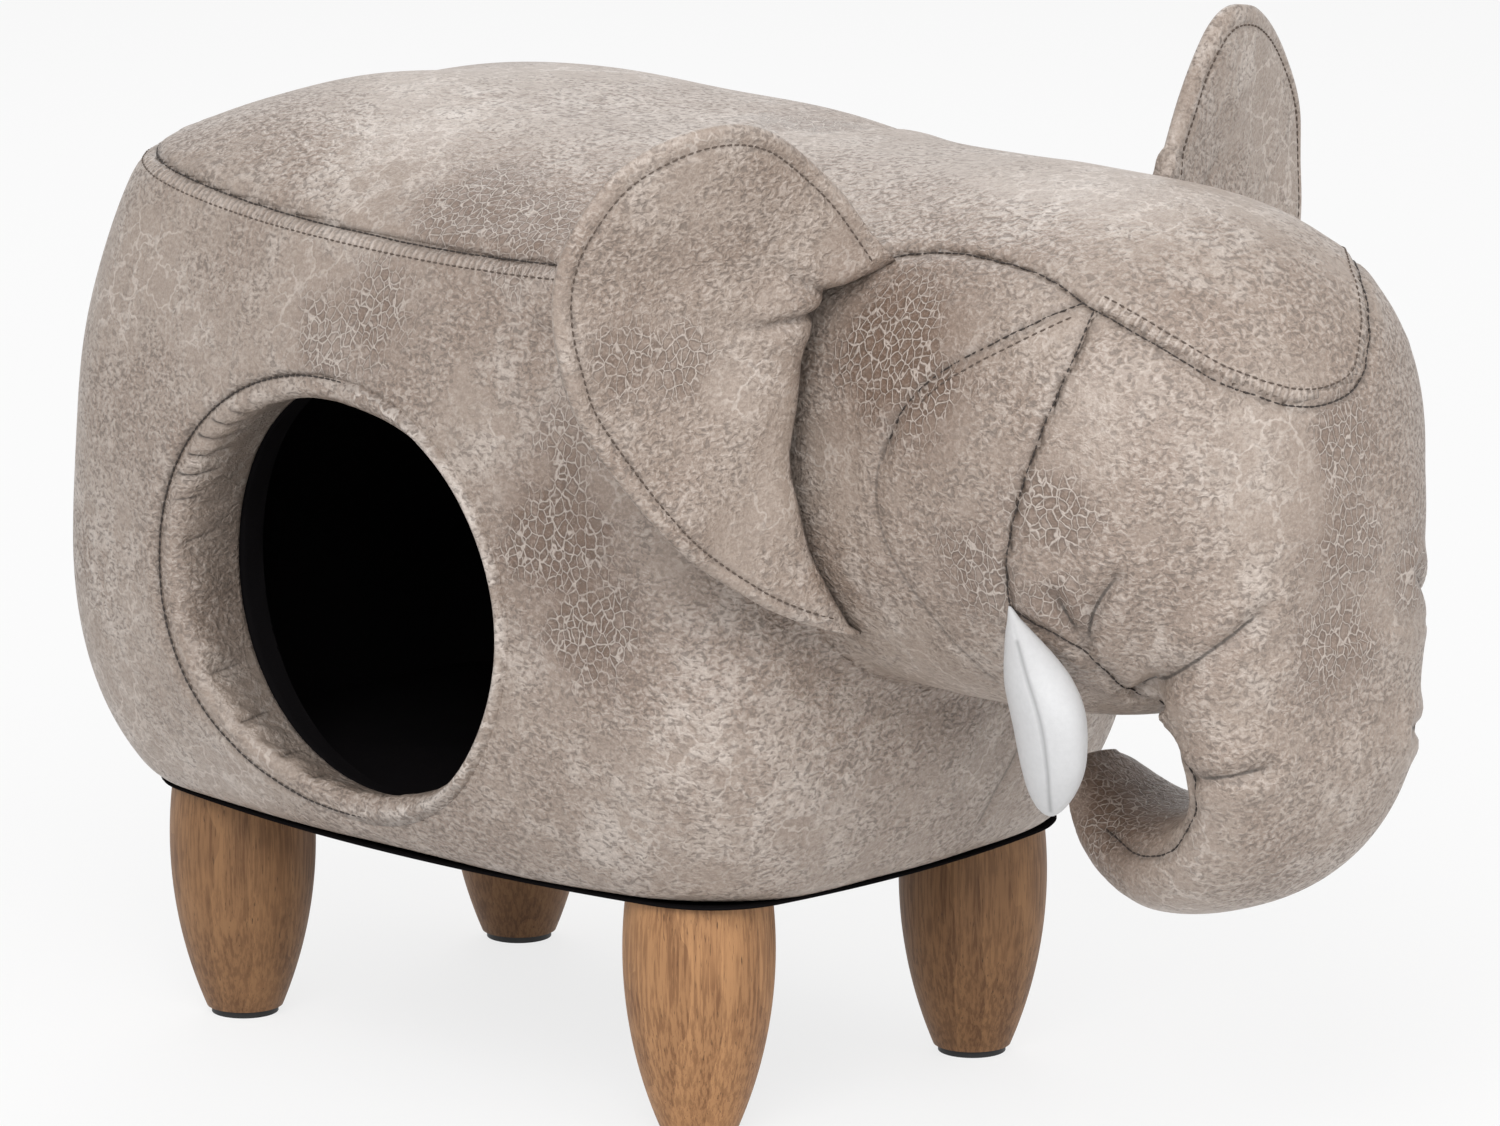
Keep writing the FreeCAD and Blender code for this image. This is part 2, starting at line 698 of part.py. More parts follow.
roll_radius = ear_half + skin
roll_end_share = 0.57
batting = ear_layer(float(ear_hem), 0, -ear_half, 2 * ear_half)
roll_low = -float(ear_foot) + float(ear_hem)
roll_high = float(ear_top) * roll_end_share - float(ear_hem)
roll = Part.makeCylinder(roll_radius, roll_high - roll_low, Vector(0, 0, roll_low))
ear_pieces = {
    "front_panel": ear_layer(0, roll_radius + gap, ear_half, skin),
    "back_panel": ear_layer(0, roll_radius + gap, -ear_half - skin, skin),
    "batting": batting.fuse(roll).removeSplitter(),
}
sweep = FreeCAD.Rotation(UP, -float(ear_sweep))
lean = FreeCAD.Rotation(Vector(1, 0, 0), -float(ear_lean))
ear_turn = sweep.multiply(lean)
ear_stand_off = 40
ear_start = Vector(float(drum_half_length + ear_place), -float(head_half_width) - ear_stand_off,
                   float(head_level))


def placed(shape, base, turn):
    copy = shape.copy()
    copy.Placement = FreeCAD.Placement(base, turn).multiply(copy.Placement)
    return copy


def moved_up_to(shape, base, turn, way):
    """Base point at which a placed shape, moved along a way, lies one soft gap off the head."""
    rounds = 8
    for _ in range(rounds):
        distance = placed(shape, base, turn).distToShape(head_outside)[0]
        base = base + way * (distance - gap)
    return base


def mirrored(shape):
    return shape.mirror(Vector(0, 0, 0), Vector(0, 1, 0))


ear_base = moved_up_to(roll, ear_start, ear_turn, Vector(0, 1, 0))
for name, shape in ear_pieces.items():
    right = placed(shape, ear_base, ear_turn)
    shape_feature("ear_right_" + name, right)
    shape_feature("ear_left_" + name, mirrored(right))

# Tusks: leaf-shaped stuffed forms that hang from the cheeks beside the trunk

def tusk_form(shrink):
    shares = [0.0, 0.1, 0.25, 0.45, 0.65, 0.82, 0.94, 1.0]
    wires = []
    for share in shares:
        swell = max(0.0, math.sin(math.pi * (0.07 + 0.86 * share ** 0.8))) ** 0.75
        depth = -(shrink + (float(tusk_length) - 2 * shrink) * share)
        wires.append(soft_oval(Vector(0, 0, depth), Vector(1, 0, 0), Vector(0, 1, 0),
                               float(tusk_width) / 2 * swell - shrink,
                               float(tusk_depth) / 2 * swell - shrink))
    return Part.makeLoft(wires, True)


tusk_skin = float(tusk_cover_thickness)
tusk_turn = FreeCAD.Rotation(Vector(0, 1, 0), -float(tusk_tilt))
tusk_outside = tusk_form(0)
tusk_start = Vector(head_front - float(tusk_back), -float(head_half_width - tusk_side_inset),
                    float(head_level) - float(head_half_height))
tusk_base = moved_up_to(tusk_outside, tusk_start, tusk_turn, UP)
tusk_pieces = {
    "cover": tusk_outside.cut(tusk_form(tusk_skin)),
    "stuffing": tusk_form(tusk_skin + gap / 3),
}
for name, shape in tusk_pieces.items():
    right = placed(shape, tusk_base, tusk_turn)
    shape_feature("tusk_right_" + name, right)
    shape_feature("tusk_left_" + name, mirrored(right))

doc.recompute()

# Every object has to be sound before anything is written
for item in doc.Objects:
    if "Invalid" in item.State or "Error" in item.State:
        raise RuntimeError("%s did not recompute" % item.Name)
for item in nodes:
    if item.Shape.isNull() or not item.Shape.isValid() or not item.Shape.Solids:
        raise RuntimeError("%s has no sound solid" % item.Label)
for item in nodes:
    item.Shape.exportStep("parts/%s.step" % item.Label)
for item in nodes:
    box = item.Shape.BoundBox
    print("%-28s solids %2d  x %7.1f %7.1f  y %7.1f %7.1f  z %6.1f %6.1f" % (
        item.Label, len(item.Shape.Solids), box.XMin, box.XMax, box.YMin, box.YMax, box.ZMin, box.ZMax))
print("ear root", ear_base + Vector(float(drum_shift), 0, 0), "axis", ear_turn.multVec(UP))
print("tusk root", tusk_base + Vector(float(drum_shift), 0, 0))
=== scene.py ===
import json
import math

import bpy
import numpy as np
from bpy.props import FloatProperty, FloatVectorProperty, IntProperty, PointerProperty
from mathutils import Matrix, Vector
from mathutils.bvhtree import BVHTree
from mathutils.kdtree import KDTree


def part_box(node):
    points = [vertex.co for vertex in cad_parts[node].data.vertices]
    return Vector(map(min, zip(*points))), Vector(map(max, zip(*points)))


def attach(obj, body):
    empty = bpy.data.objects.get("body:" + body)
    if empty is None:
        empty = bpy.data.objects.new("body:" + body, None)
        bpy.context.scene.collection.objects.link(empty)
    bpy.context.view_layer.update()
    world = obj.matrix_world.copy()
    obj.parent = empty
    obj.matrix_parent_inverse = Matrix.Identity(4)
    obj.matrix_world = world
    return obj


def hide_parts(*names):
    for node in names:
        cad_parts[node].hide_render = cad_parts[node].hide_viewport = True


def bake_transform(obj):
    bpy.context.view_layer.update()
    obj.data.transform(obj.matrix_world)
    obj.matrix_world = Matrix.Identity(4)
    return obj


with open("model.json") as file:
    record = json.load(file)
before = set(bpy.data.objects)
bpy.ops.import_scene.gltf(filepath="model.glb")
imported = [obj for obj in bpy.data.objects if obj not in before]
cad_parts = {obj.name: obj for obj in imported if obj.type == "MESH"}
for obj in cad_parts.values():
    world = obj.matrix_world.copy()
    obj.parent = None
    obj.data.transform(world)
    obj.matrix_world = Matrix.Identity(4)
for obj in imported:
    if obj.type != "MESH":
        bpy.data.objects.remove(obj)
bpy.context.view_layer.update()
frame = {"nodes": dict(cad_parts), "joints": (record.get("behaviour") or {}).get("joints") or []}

bl_info = {
    "name": "Elephant pouf",
    "version": (1, 0, 0),
    "blender": (4, 5, 0),
    "location": "View3D > Sidebar > Pouf",
    "description": "Sewn covers, ears, tusks, stitches and finishes of an elephant pouf",
    "category": "Object",
}

# The free forms are worked out in millimetres around the middle of the drum.
MM = 0.001
BOARD_LOW, BOARD_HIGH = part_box("base_board")
DRUM_SHIFT = (BOARD_LOW.x + BOARD_HIGH.x) / 2 / MM
HEM_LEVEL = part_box("side_cover")[0].z / MM
SEAM_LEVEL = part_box("side_cover")[1].z / MM
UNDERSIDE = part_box("dust_cover")[0].z / MM
STITCH_PITCH = 3.4


def to_row(points):
    """Millimetres around the drum into metres in the frame of the part."""
    points = np.array(points, float)
    points[:, 0] += DRUM_SHIFT
    return points * MM


# Sizes and colours

def a_length(name, description, default):
    return FloatProperty(name=name, description=description, default=default, unit="LENGTH")


def a_place(name, description, default):
    return FloatVectorProperty(name=name, description=description, default=default, size=3, unit="LENGTH")


def an_angle(name, description, default):
    return FloatProperty(name=name, description=description, default=math.radians(default), subtype="ANGLE")


def a_share(name, description, default):
    return FloatProperty(name=name, description=description, default=default)


def a_colour(name, description, default):
    return FloatVectorProperty(name=name, description=description, default=default, subtype="COLOR", size=3)


class DrumSizes(bpy.types.PropertyGroup):
    half_length: a_length("Half length", "Half length of the drum", 0.208)
    half_width: a_length("Half width", "Half width of the drum", 0.157)
    flank_radius: a_length("Flank radius", "Bow of the flanks", 0.728)
    end_radius: a_length("End radius", "Bow of the ends", 0.478)
    corner_radius: a_length("Corner radius", "Round of the corners", 0.060)
    hem_inset: a_length("Hem inset", "How far the hem draws in", 0.029)
    seam_inset: a_length("Seam inset", "How far the seat seam draws in", 0.0235)
    bulge_rise: a_length("Bulge rise", "Widest line above the hem", 0.114)
    crown_rise: a_length("Crown rise", "Dome of the seat above its seam", 0.039)
    rear_fullness: a_length("Rear fullness", "Extra stuffing at the rear", 0.004)
    cell: a_length("Cell", "Mesh size of the sewn skin", 0.003)
    skin: a_length("Skin", "Thickness of the faux leather", 0.0012)


class MouthSizes(bpy.types.PropertyGroup):
    ring_radius: a_length("Ring radius", "Seam ring of the mouth", 0.093)
    ring_wide: a_share("Ring width", "Width of the ring over its radius", 1.07)
    ring_tall: a_share("Ring height", "Height of the ring over its radius", 0.975)
    inner_radius: a_length("Inner radius", "Sleeve at the lining", 0.0865)
    lip: a_length("Lip", "Width of the padded lip inside the ring", 0.0082)
    back: a_length("Back", "Mouth behind the middle of the drum", 0.009)
    level: a_length("Level", "Middle of the mouth above the floor", 0.2072)
    sleeve_share: a_share("Sleeve share", "Share of the wall's depth that the sleeve lines", 0.72)
    folds: IntProperty(name="Folds", description="Gathers around the sleeve", default=34)


class HeadSizes(bpy.types.PropertyGroup):
    start: a_length("Start", "Rear end of the head form", 0.138)
    widest: a_length("Widest", "Widest section of the head", 0.230)
    front: a_length("Front", "Foremost point of the face", 0.394)
    half_width: a_length("Half width", "Half width of the head", 0.110)
    half_height: a_length("Half height", "Half height of the head", 0.1035)
    level: a_length("Level", "Middle of the head above the floor", 0.2892)
    curl_reach: a_length("Curl middle", "Middle of the trunk's curl", 0.322)
    curl_level: a_length("Curl level", "Middle of the curl above the floor", 0.1872)
    curl_radius: a_length("Curl radius", "Outside of the trunk's curl", 0.075)


class EarSizes(bpy.types.PropertyGroup):
    thickness: a_length("Thickness", "Padded thickness of an ear", 0.0084)
    hem: a_length("Hem", "Topstitch from the edge", 0.007)
    cup: a_length("Cup", "How far the edge stands forward", 0.009)
    sweep: an_angle("Sweep", "Backward sweep", 20)
    lean: an_angle("Lean", "Lean towards the head", 9)


class TuskSizes(bpy.types.PropertyGroup):
    width: a_length("Width", "Width along the head", 0.0345)
    depth: a_length("Depth", "Thickness of a tusk", 0.0245)


class StitchSizes(bpy.types.PropertyGroup):
    pitch: a_length("Pitch", "From stitch to stitch", STITCH_PITCH * MM)
    length: a_length("Length", "Length of a stitch", 0.0026)
    thread: a_length("Thread", "Thickness of the thread", 0.0008)


class Finishes(bpy.types.PropertyGroup):
    leather: a_colour("Leather", "Ground of the faux leather", (0.340, 0.271, 0.225))
    leather_dark: a_colour("Dark leather", "Brown clouds of the faux leather", (0.262, 0.196, 0.156))
    # Scuff is also the colour of the painted highlights on the crests of ripples and puckers and along the
    # sleeve's lip
    scuff: a_colour("Scuff", "Rubbed leather", (0.545, 0.477, 0.428))
    cell_dark: a_colour("Crackle cells", "Dark cells of the crackle", (0.165, 0.106, 0.075))
    thread: a_colour("Thread", "Thread of the seams", (0.035, 0.026, 0.022))
    topstitch: a_colour("Topstitch", "Thread of the topstitches", (0.10, 0.073, 0.057))
    tusk: a_colour("Tusk", "White tusk cover", (0.585, 0.585, 0.592))
    wood: a_colour("Wood", "Oiled leg wood", (0.405, 0.213, 0.096))
    wood_dark: a_colour("Wood grain", "Dark grain of the legs", (0.175, 0.080, 0.034))
    cloth: a_colour("Cloth", "Black lining cloth", (0.0055, 0.005, 0.0054))


class StageSizes(bpy.types.PropertyGroup):
    camera: a_place("Camera", "Place of the camera", (2.2329, -2.4010, 0.9494))
    aim: a_place("Aim", "Point in the middle of the picture", (-0.0512, 0.0420, 0.199))
    lens: FloatProperty(name="Lens", description="Focal length in millimetres", default=199.6)
    backdrop: a_share("Backdrop", "Share of plain white in the floor as it is seen", 0.78)
    sky: a_share("Sky", "Strength of the light from all round", 0.55)


GROUPS = {
    "pouf_drum": DrumSizes, "pouf_mouth": MouthSizes, "pouf_head": HeadSizes, "pouf_ear": EarSizes,
    "pouf_tusk": TuskSizes, "pouf_stitch": StitchSizes, "pouf_finish": Finishes, "pouf_stage": StageSizes,
}


def sizes(group):
    return getattr(bpy.context.scene, group)


# Smooth forms

def smooth_least(a, b, reach):
    """Least of two distances, rounded off where they are within a reach of each other."""
    share = np.clip(reach - np.abs(a - b), 0, None) / reach
    return np.minimum(a, b) - share * share * reach / 4


def smooth_most(a, b, reach):
    return -smooth_least(-a, -b, reach)


def ease(value, low, high):
    share = np.clip((value - low) / (high - low), 0, 1)
    return share * share * (3 - 2 * share)


def bell(value, width, middle=0):
    """1 in the middle, falling off to 0 on both sides."""
    return np.exp(-((value - middle) / width) ** 2)


# Relief along lines in millimetres: depth and width of the groove; height, width and distance of the ridges
SEAM_RELIEF = (1.2, 2.0, 0.45, 4.5, 7)
FAINT_RELIEF = (0.8, 2.4, 0.3, 4, 6)
CREASE_RELIEF = (2.6, 2.6, 1.4, 5, 8)
PLEAT_RELIEF = (3.4, 1.9, 1.2, 5, 7)


def groove_along(gap, relief):
    """A groove between two soft ridges, by the distance from its line."""
    depth, width, ridge, ridge_width, ridge_gap = relief
    return ridge * bell(gap, ridge_width, ridge_gap) - depth * bell(gap, width)


def rounded(a, b, power):
    """Size of two shares together: 2 as the power gives a circle, more gives fuller corners."""
    return (np.abs(a) ** power + np.abs(b) ** power) ** (1 / power)


# A reach that is outside of every form
FAR_OUT = 600.0


def last_held(test, low, high, rounds=40):
    """Halve the way from low, where a test holds, to high, where it does not."""
    for _ in range(rounds):
        middle = (low + high) / 2
        held = test(middle)
        low, high = np.where(held, middle, low), np.where(held, high, middle)
    return low


def full_turn(count):
    """Angles around a ring."""
    return np.linspace(0, 2 * math.pi, count, endpoint=False)


def oval_distance(x, y, half_x, half_y, flank, end, corner):
    """Distance from a plan of eight tangent arcs, negative inside."""
    x, y = np.abs(x), np.abs(y)
    low = half_y - flank
    left = half_x - end
    from_low = flank - corner
    from_left = end - corner
    gap = np.hypot(left, low)
    along = (from_low ** 2 - from_left ** 2 + gap ** 2) / (2 * gap)
    across = np.sqrt(from_low ** 2 - along ** 2)
    unit_x, unit_y = left / gap, -low / gap
    cx = along * unit_x + across * unit_y
    cy = low + along * unit_y - across * unit_x
    on_flank = cx * (y - low) - (cy - low) * x > 0
    on_end = (cx - left) * y - cy * (x - left) < 0
    flank_way = np.hypot(x, y - low) - flank
    end_way = np.hypot(x - left, y) - end
    corner_way = np.hypot(x - cx, y - cy) - corner
    return np.where(on_flank, flank_way, np.where(on_end, end_way, corner_way))


# Fall, slope and bow of the seat seam along the drum
SEAM_FALL, SEAM_SLOPE, SEAM_BOW = 3.2, 0.0337, 0.000216
# Rounding of the drum at the seat seam and at the hem
SEAM_ROUND, HEM_ROUND = 7, 9


def seam_level(x):
    """The seat seam stands a little higher at the rear than beside the head."""
    return SEAM_LEVEL - SEAM_FALL - SEAM_SLOPE * x + SEAM_BOW * x * x


def profile_inset(z, drum):
    """How far the side draws in below and above its widest line."""
    hem_power, seam_power = 3.3, 2.4
    bulge = HEM_LEVEL + drum.bulge_rise / MM
    below = np.clip((bulge - z) / (bulge - HEM_LEVEL), 0, 1.2) ** hem_power
    above = np.clip((z - bulge) / (SEAM_LEVEL - bulge), 0, 1.3) ** seam_power
    return (drum.hem_inset * below + drum.seam_inset * above) / MM


def crown_level(x, y, drum):
    """Dome of the seat over its seam."""
    half_x = (drum.half_length - drum.seam_inset) / MM
    half_y = (drum.half_width - drum.seam_inset) / MM
    share = rounded(x / half_x, y / half_y, 3.3)
    return seam_level(x) + drum.crown_rise / MM * (1 - share ** 3)


def drum_distance(x, y, z, drum):
    inset = profile_inset(z, drum)
    full = drum.rear_fullness / MM * ease(-x, 20, 170)
    side = oval_distance(x, y, drum.half_length / MM - inset + full, drum.half_width / MM - inset,
                         drum.flank_radius / MM, drum.end_radius / MM, drum.corner_radius / MM)
    top = z - crown_level(x, y, drum)
    return smooth_most(smooth_most(side, top, SEAM_ROUND), HEM_LEVEL - z, HEM_ROUND)


def head_form(x, y, z, head):
    """Stuffed head: 0 on its surface, without a true scale."""
    section_power, face_power, nose_power, neck_taper = 2.35, 2.2, 3.5, 0.2
    half_width, half_height = head.half_width / MM, head.half_height / MM
    reach = rounded(y / half_width, (z - head.level / MM) / half_height, section_power)
    front = np.clip((x - head.widest / MM) / ((head.front - head.widest) / MM), 0, None)
    neck = np.clip((head.widest / MM - x) / ((head.widest - head.start) / MM), 0, 1.3)
    face = (reach ** face_power + front ** nose_power) ** (1 / face_power)
    return np.where(x > head.widest / MM, face, reach / (1 - neck_taper * neck ** 2)) - 1


# Trunk: its root, its thickness and width where it hangs, and what these gain at the root and lose at the tip
TRUNK_ROOT, TRUNK_RISE = 346.0, 20
TRUNK_THICK, TRUNK_WIDE = 50, 120
ROOT_THICK, ROOT_WIDE = 56, 40
TIP_THICK, TIP_WIDE = 16, 54
# Fullness of its section, and the angle in degrees through which it curls
TRUNK_POWER, CURL_TURN = 2.3, 150


def trunk_form(x, y, z, head):
    """Trunk: a drop from the face, then a curl back under the chin, 0 on its surface. Then the share
    of the curl, and the least distance that a point below its middle can have from it."""
    cx, cz, radius = head.curl_reach / MM, head.curl_level / MM, head.curl_radius / MM
    root_z = head.level / MM + TRUNK_RISE
    bend_x = cx + radius - TRUNK_THICK / 2
    share = np.clip((root_z - z) / (root_z - cz), -0.4, 1)
    centre = TRUNK_ROOT + (bend_x - TRUNK_ROOT) * share
    sunk = 1 - 0.22 * np.clip(1 - share / 0.4, 0, None) ** 2
    thick = (TRUNK_THICK + ROOT_THICK * np.clip(1 - share, 0, None) ** 1.2) * sunk / 2
    wide = (TRUNK_WIDE + ROOT_WIDE * (1 - share)) * sunk / 2
    drop = rounded((x - centre) / thick, y / wide, TRUNK_POWER) - 1
    drop = np.where(z > root_z + 25, 2.0, drop)
    angle = np.degrees(np.arctan2(cz - z, x - cx))
    turn = np.where(angle < -30, angle + 360, angle) / CURL_TURN
    turn_in = np.clip(turn, 0, 1.04)
    fade = np.sqrt(np.clip(1 - np.clip(turn_in - 0.6, 0, None) / 0.45, 0.004, 1))
    taper = TRUNK_THICK - TIP_THICK * turn_in
    out = np.hypot(x - cx, z - cz) - (radius - taper / 2)
    wide = (TRUNK_WIDE - TIP_WIDE * turn_in) / 2 * np.sqrt(fade)
    curl = rounded(out / (taper * fade / 2), y / wide, TRUNK_POWER) - 1
    curl = np.where(turn > 1.06, 3.0, curl)
    form = np.where(z > cz, np.where((x > cx) | (curl > drop), drop, curl), curl)
    least = np.where(z > cz, -1000.0, np.abs(out) - taper / 2)
    return form, turn, least


def scaled(form, step):
    """A form divided by its slope, which is close to its distance near the surface."""
    slope = np.sqrt(sum(part ** 2 for part in np.gradient(form, step)))
    return form / np.clip(slope, 0.004, None)


# Corners of the field, and where the head's forms begin
SKIN_LOW, SKIN_HIGH = (-222, -168, HEM_LEVEL - 9), (408, 168, 410)
HEAD_BEGIN = 100
# How softly the trunk runs into the face, along the curl and more at its root; the head into the drum, below
# and more above; and the levels between which the last changes
TRUNK_SOFT, ROOT_SOFT = 5, 27
NECK_SOFT, NAPE_SOFT = 13, 45
NECK_LEVELS = (300, 372)
CORNERS = list(np.ndindex(2, 2, 2))


class SkinField:
    """Distances from the whole stuffed animal on a grid, and the points sampled from it."""

    def __init__(self, drum, head):
        self.step = drum.cell / MM
        counts = [int((high - low) / self.step) + 1 for low, high in zip(SKIN_LOW, SKIN_HIGH)]
        axes = [low + self.step * np.arange(count) for low, count in zip(SKIN_LOW, counts)]
        self.low = np.array(SKIN_LOW, float)
        grid = np.meshgrid(*axes, indexing="ij")
        body = drum_distance(*grid, drum)
        start = int((HEAD_BEGIN - SKIN_LOW[0]) / self.step)
        x, y, z = (axis[start:] for axis in grid)
        skull = scaled(head_form(x, y, z, head), self.step)
        form, turn, least = trunk_form(x, y, z, head)
        trunk = np.maximum(scaled(form, self.step), least)
        curl = head.curl_level / MM
        trunk_blend = TRUNK_SOFT + ROOT_SOFT * (1 - ease(turn, 0.0, 0.3)) * ease(z, curl - 40, curl)
        face = smooth_least(skull, trunk, trunk_blend)
        neck_blend = NECK_SOFT + NAPE_SOFT * ease(z, *NECK_LEVELS)
        self.face = np.full(body.shape, 50.0)
        self.face[start:] = face
        self.drum = body
        whole = body.copy()
        whole[start:] = smooth_least(body[start:], face, neck_blend)
        self.field = whole
        self.slopes = np.gradient(whole, self.step)

    def sample(self, array, points):
        """Values between the grid points."""
        place = (points - self.low) / self.step
        limit = np.array(array.shape) - 2
        cell = np.clip(np.floor(place).astype(int), 0, limit)
        part = np.clip(place - cell, 0, 1)
        total = 0
        for corner in CORNERS:
            weight = np.abs(1 - np.array(corner) - part).prod(1)
            total = total + weight * array[tuple((cell + corner).T)]
        return total

    def slope(self, points):
        return np.stack([self.sample(slope, points) for slope in self.slopes], 1)

    def normals(self, points):
        way = self.slope(points)
        return way / np.clip(np.linalg.norm(way, axis=1, keepdims=True), 1e-9, None)

    def settle(self, points, rounds=3):
        """Points moved along the slope onto the surface."""
        for _ in range(rounds):
            way = self.slope(points)
            square = np.clip((way ** 2).sum(1, keepdims=True), 0.05, None)
            points = points - way * (self.sample(self.field, points)[:, None] / square)
        return points

    def net(self):
        """Surface of the field as points and four-sided faces that point outwards."""
        inside = self.field < 0
        most = np.array(inside.shape) - 1
        count = sum(inside[tuple(slice(first, first + size) for first, size in zip(corner, most))].astype(int)
                    for corner in CORNERS)
        mixed = (count > 0) & (count < 8)
        cells = np.argwhere(mixed)
        number = np.full(mixed.shape, -1)
        number[mixed] = np.arange(len(cells))
        total, weight = np.zeros((len(cells), 3)), np.zeros(len(cells))
        units = np.eye(3, dtype=int)
        for axis in range(3):
            for first in CORNERS:
                if first[axis]:
                    continue
                a = self.field[tuple((cells + first).T)]
                b = self.field[tuple((cells + first + units[axis]).T)]
                cross = (a < 0) != (b < 0)
                share = np.where(cross, a / np.where(cross, a - b, 1), 0)
                spot = first + share[:, None] * units[axis]
                total[cross] += spot[cross]
                weight[cross] += 1
        points = self.low + self.step * (cells + total / weight[:, None])
        faces = []
        for axis in range(3):
            u, v = (axis + 1) % 3, (axis + 2) % 3
            here = [slice(None)] * 3
            there = [slice(None)] * 3
            here[axis], there[axis] = slice(0, -1), slice(1, None)
            change = inside[tuple(here)] != inside[tuple(there)]
            spots = np.argwhere(change)
            spots = spots[(spots[:, u] > 0) & (spots[:, v] > 0)
                          & (spots[:, u] < mixed.shape[u]) & (spots[:, v] < mixed.shape[v])]
            shifts = (0 * units[u], units[u], units[u] + units[v], units[v])
            quads = np.stack([number[tuple((spots - shift).T)] for shift in shifts], 1)
            outward = inside[tuple(spots.T)]
            quads[~outward] = quads[~outward][:, ::-1]
            faces.append(quads)
        return points, np.concatenate(faces)


def relaxed(field, points, faces, rounds):
    """Points spread evenly over the surface."""
    edges = np.concatenate([faces[:, [i, (i + 1) % 4]] for i in range(4)])
    for _ in range(rounds):
        total, count = np.zeros_like(points), np.zeros(len(points))
        for a, b in ((0, 1), (1, 0)):
            np.add.at(total, edges[:, a], points[edges[:, b]])
            np.add.at(count, edges[:, a], 1)
        points = field.settle(0.5 * points + 0.5 * total / count[:, None], 1)
    return points


# Lines on the skin

def run_along(line):
    """Length of a line up to each of its points."""
    return np.r_[0, np.cumsum(np.linalg.norm(np.diff(line, axis=0), axis=1))]


def points_at(where, length, line):
    return np.stack([np.interp(where, length, column) for column in line.T], 1)


def spline(points, spacing, closed=False):
    """Smooth line through points, with even spacing."""
    points = np.array(points, float)
    count = len(points)
    pad = points[np.r_[count - 1, 0:count, 0, 1]] if closed else np.vstack(
        [2 * points[0] - points[1], points, 2 * points[-1] - points[-2]])
    dense = []
    for index in range(count if closed else count - 1):
        a, b, c, d = pad[index:index + 4]
        t = np.linspace(0, 1, 24, endpoint=False)[:, None]
        dense.append(0.5 * (2 * b + (c - a) * t + (2 * a - 5 * b + 4 * c - d) * t ** 2
                            + (3 * b - a - 3 * c + d) * t ** 3))
    dense.append(points[:1] if closed else points[-1:])
    dense = np.concatenate(dense)
    length = run_along(dense)
    steps = max(2, int(round(length[-1] / spacing)) + 1)
    return points_at(np.linspace(0, length[-1], steps), length, dense)


def mirrored(points):
    return np.array(points, float) * (1, -1, 1)


# Mesh helpers

def new_object(name, points, faces, smooth=True):
    mesh = bpy.data.meshes.new(name)
    mesh.from_pydata([tuple(p) for p in points], [], [tuple(int(i) for i in f) for f in faces])
    mesh.validate()
    mesh.polygons.foreach_set("use_smooth", [smooth] * len(mesh.polygons))
    mesh.update()
    thing = bpy.data.objects.new(name, mesh)
    bpy.context.scene.collection.objects.link(thing)
    return thing


def grid_faces(rows, columns):
    """Faces of a grid of points, closed around the columns."""
    faces = []
    for row in range(rows - 1):
        for column in range(columns):
            nxt = (column + 1) % columns
            faces.append((row * columns + column, row * columns + nxt,
                          (row + 1) * columns + nxt, (row + 1) * columns + column))
    return faces


def fan_faces(first, count, hub):
    """Faces from a ring of points to the point in its middle."""
    return [(first + index, first + (index + 1) % count, hub) for index in range(count)]


def flipped(faces):
    return [tuple(face[::-1]) for face in faces]


def moved_on(faces, start):
    """Faces whose points come after others in the same mesh."""
    return [tuple(start + index for index in face) for face in faces]


def set_attributes(thing, **attributes):
    for name, values in attributes.items():
        attribute = thing.data.attributes.new(name, "FLOAT", "POINT")
        attribute.data.foreach_set("value", np.array(values, np.float32))


def thicken(thing):
    """Give a skin the thickness of the faux leather, inwards."""
    wall = thing.modifiers.new("skin", "SOLIDIFY")
    wall.thickness = sizes("pouf_drum").skin
    wall.offset = -1


def finish_piece(thing, body, finish, slot, *nodes):
    """Material, body and nodes of a piece: it gets its material, is attached to its body when the body is one
    name, and is only set in place when the body is given as two and the places between which it bends; the
    nodes are hidden. The slot is not used.
    """
    thing.data.materials.append(material(finish))
    if isinstance(body, str):
        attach(thing, body)
    else:
        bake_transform(thing)
    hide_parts(*nodes)


def search_tree(spots):
    tree = KDTree(len(spots))
    for index, spot in enumerate(spots):
        tree.insert(spot, index)
    tree.balance()
    return tree


def closest(spots, points):
    """Number of the spot that is closest to each point, and its distance."""
    tree = search_tree(spots)
    found = [tree.find(point) for point in points]
    return np.array([item[1] for item in found]), np.array([item[2] for item in found])


def nearest(lines, points):
    """Distance from each point to the nearest of some lines, and the run along that line up to there."""
    number, gap = closest(np.concatenate(lines), points)
    return gap, np.concatenate([run_along(line) for line in lines])[number]


def sided(lines, points, normals):
    """Distance from the nearest of some lines, with a sign for its two sides, and how near it runs."""
    spots = np.concatenate(lines)
    ways = np.concatenate([np.gradient(line, axis=0) for line in lines])
    steps = [np.arange(len(line)) for line in lines]
    inner = np.concatenate([ease(np.minimum(step, step[::-1]), 0, 4) for step in steps])
    number, gap = closest(spots, points)
    across = np.cross(normals, ways[number])
    across /= np.linalg.norm(across, axis=1, keepdims=True)
    side = ((points - spots[number]) * across).sum(1)
    return side, inner[number] * (1 - ease(gap, 3.5, 5.5))


# Materials

def times(values, share):
    return tuple(share * value for value in values)


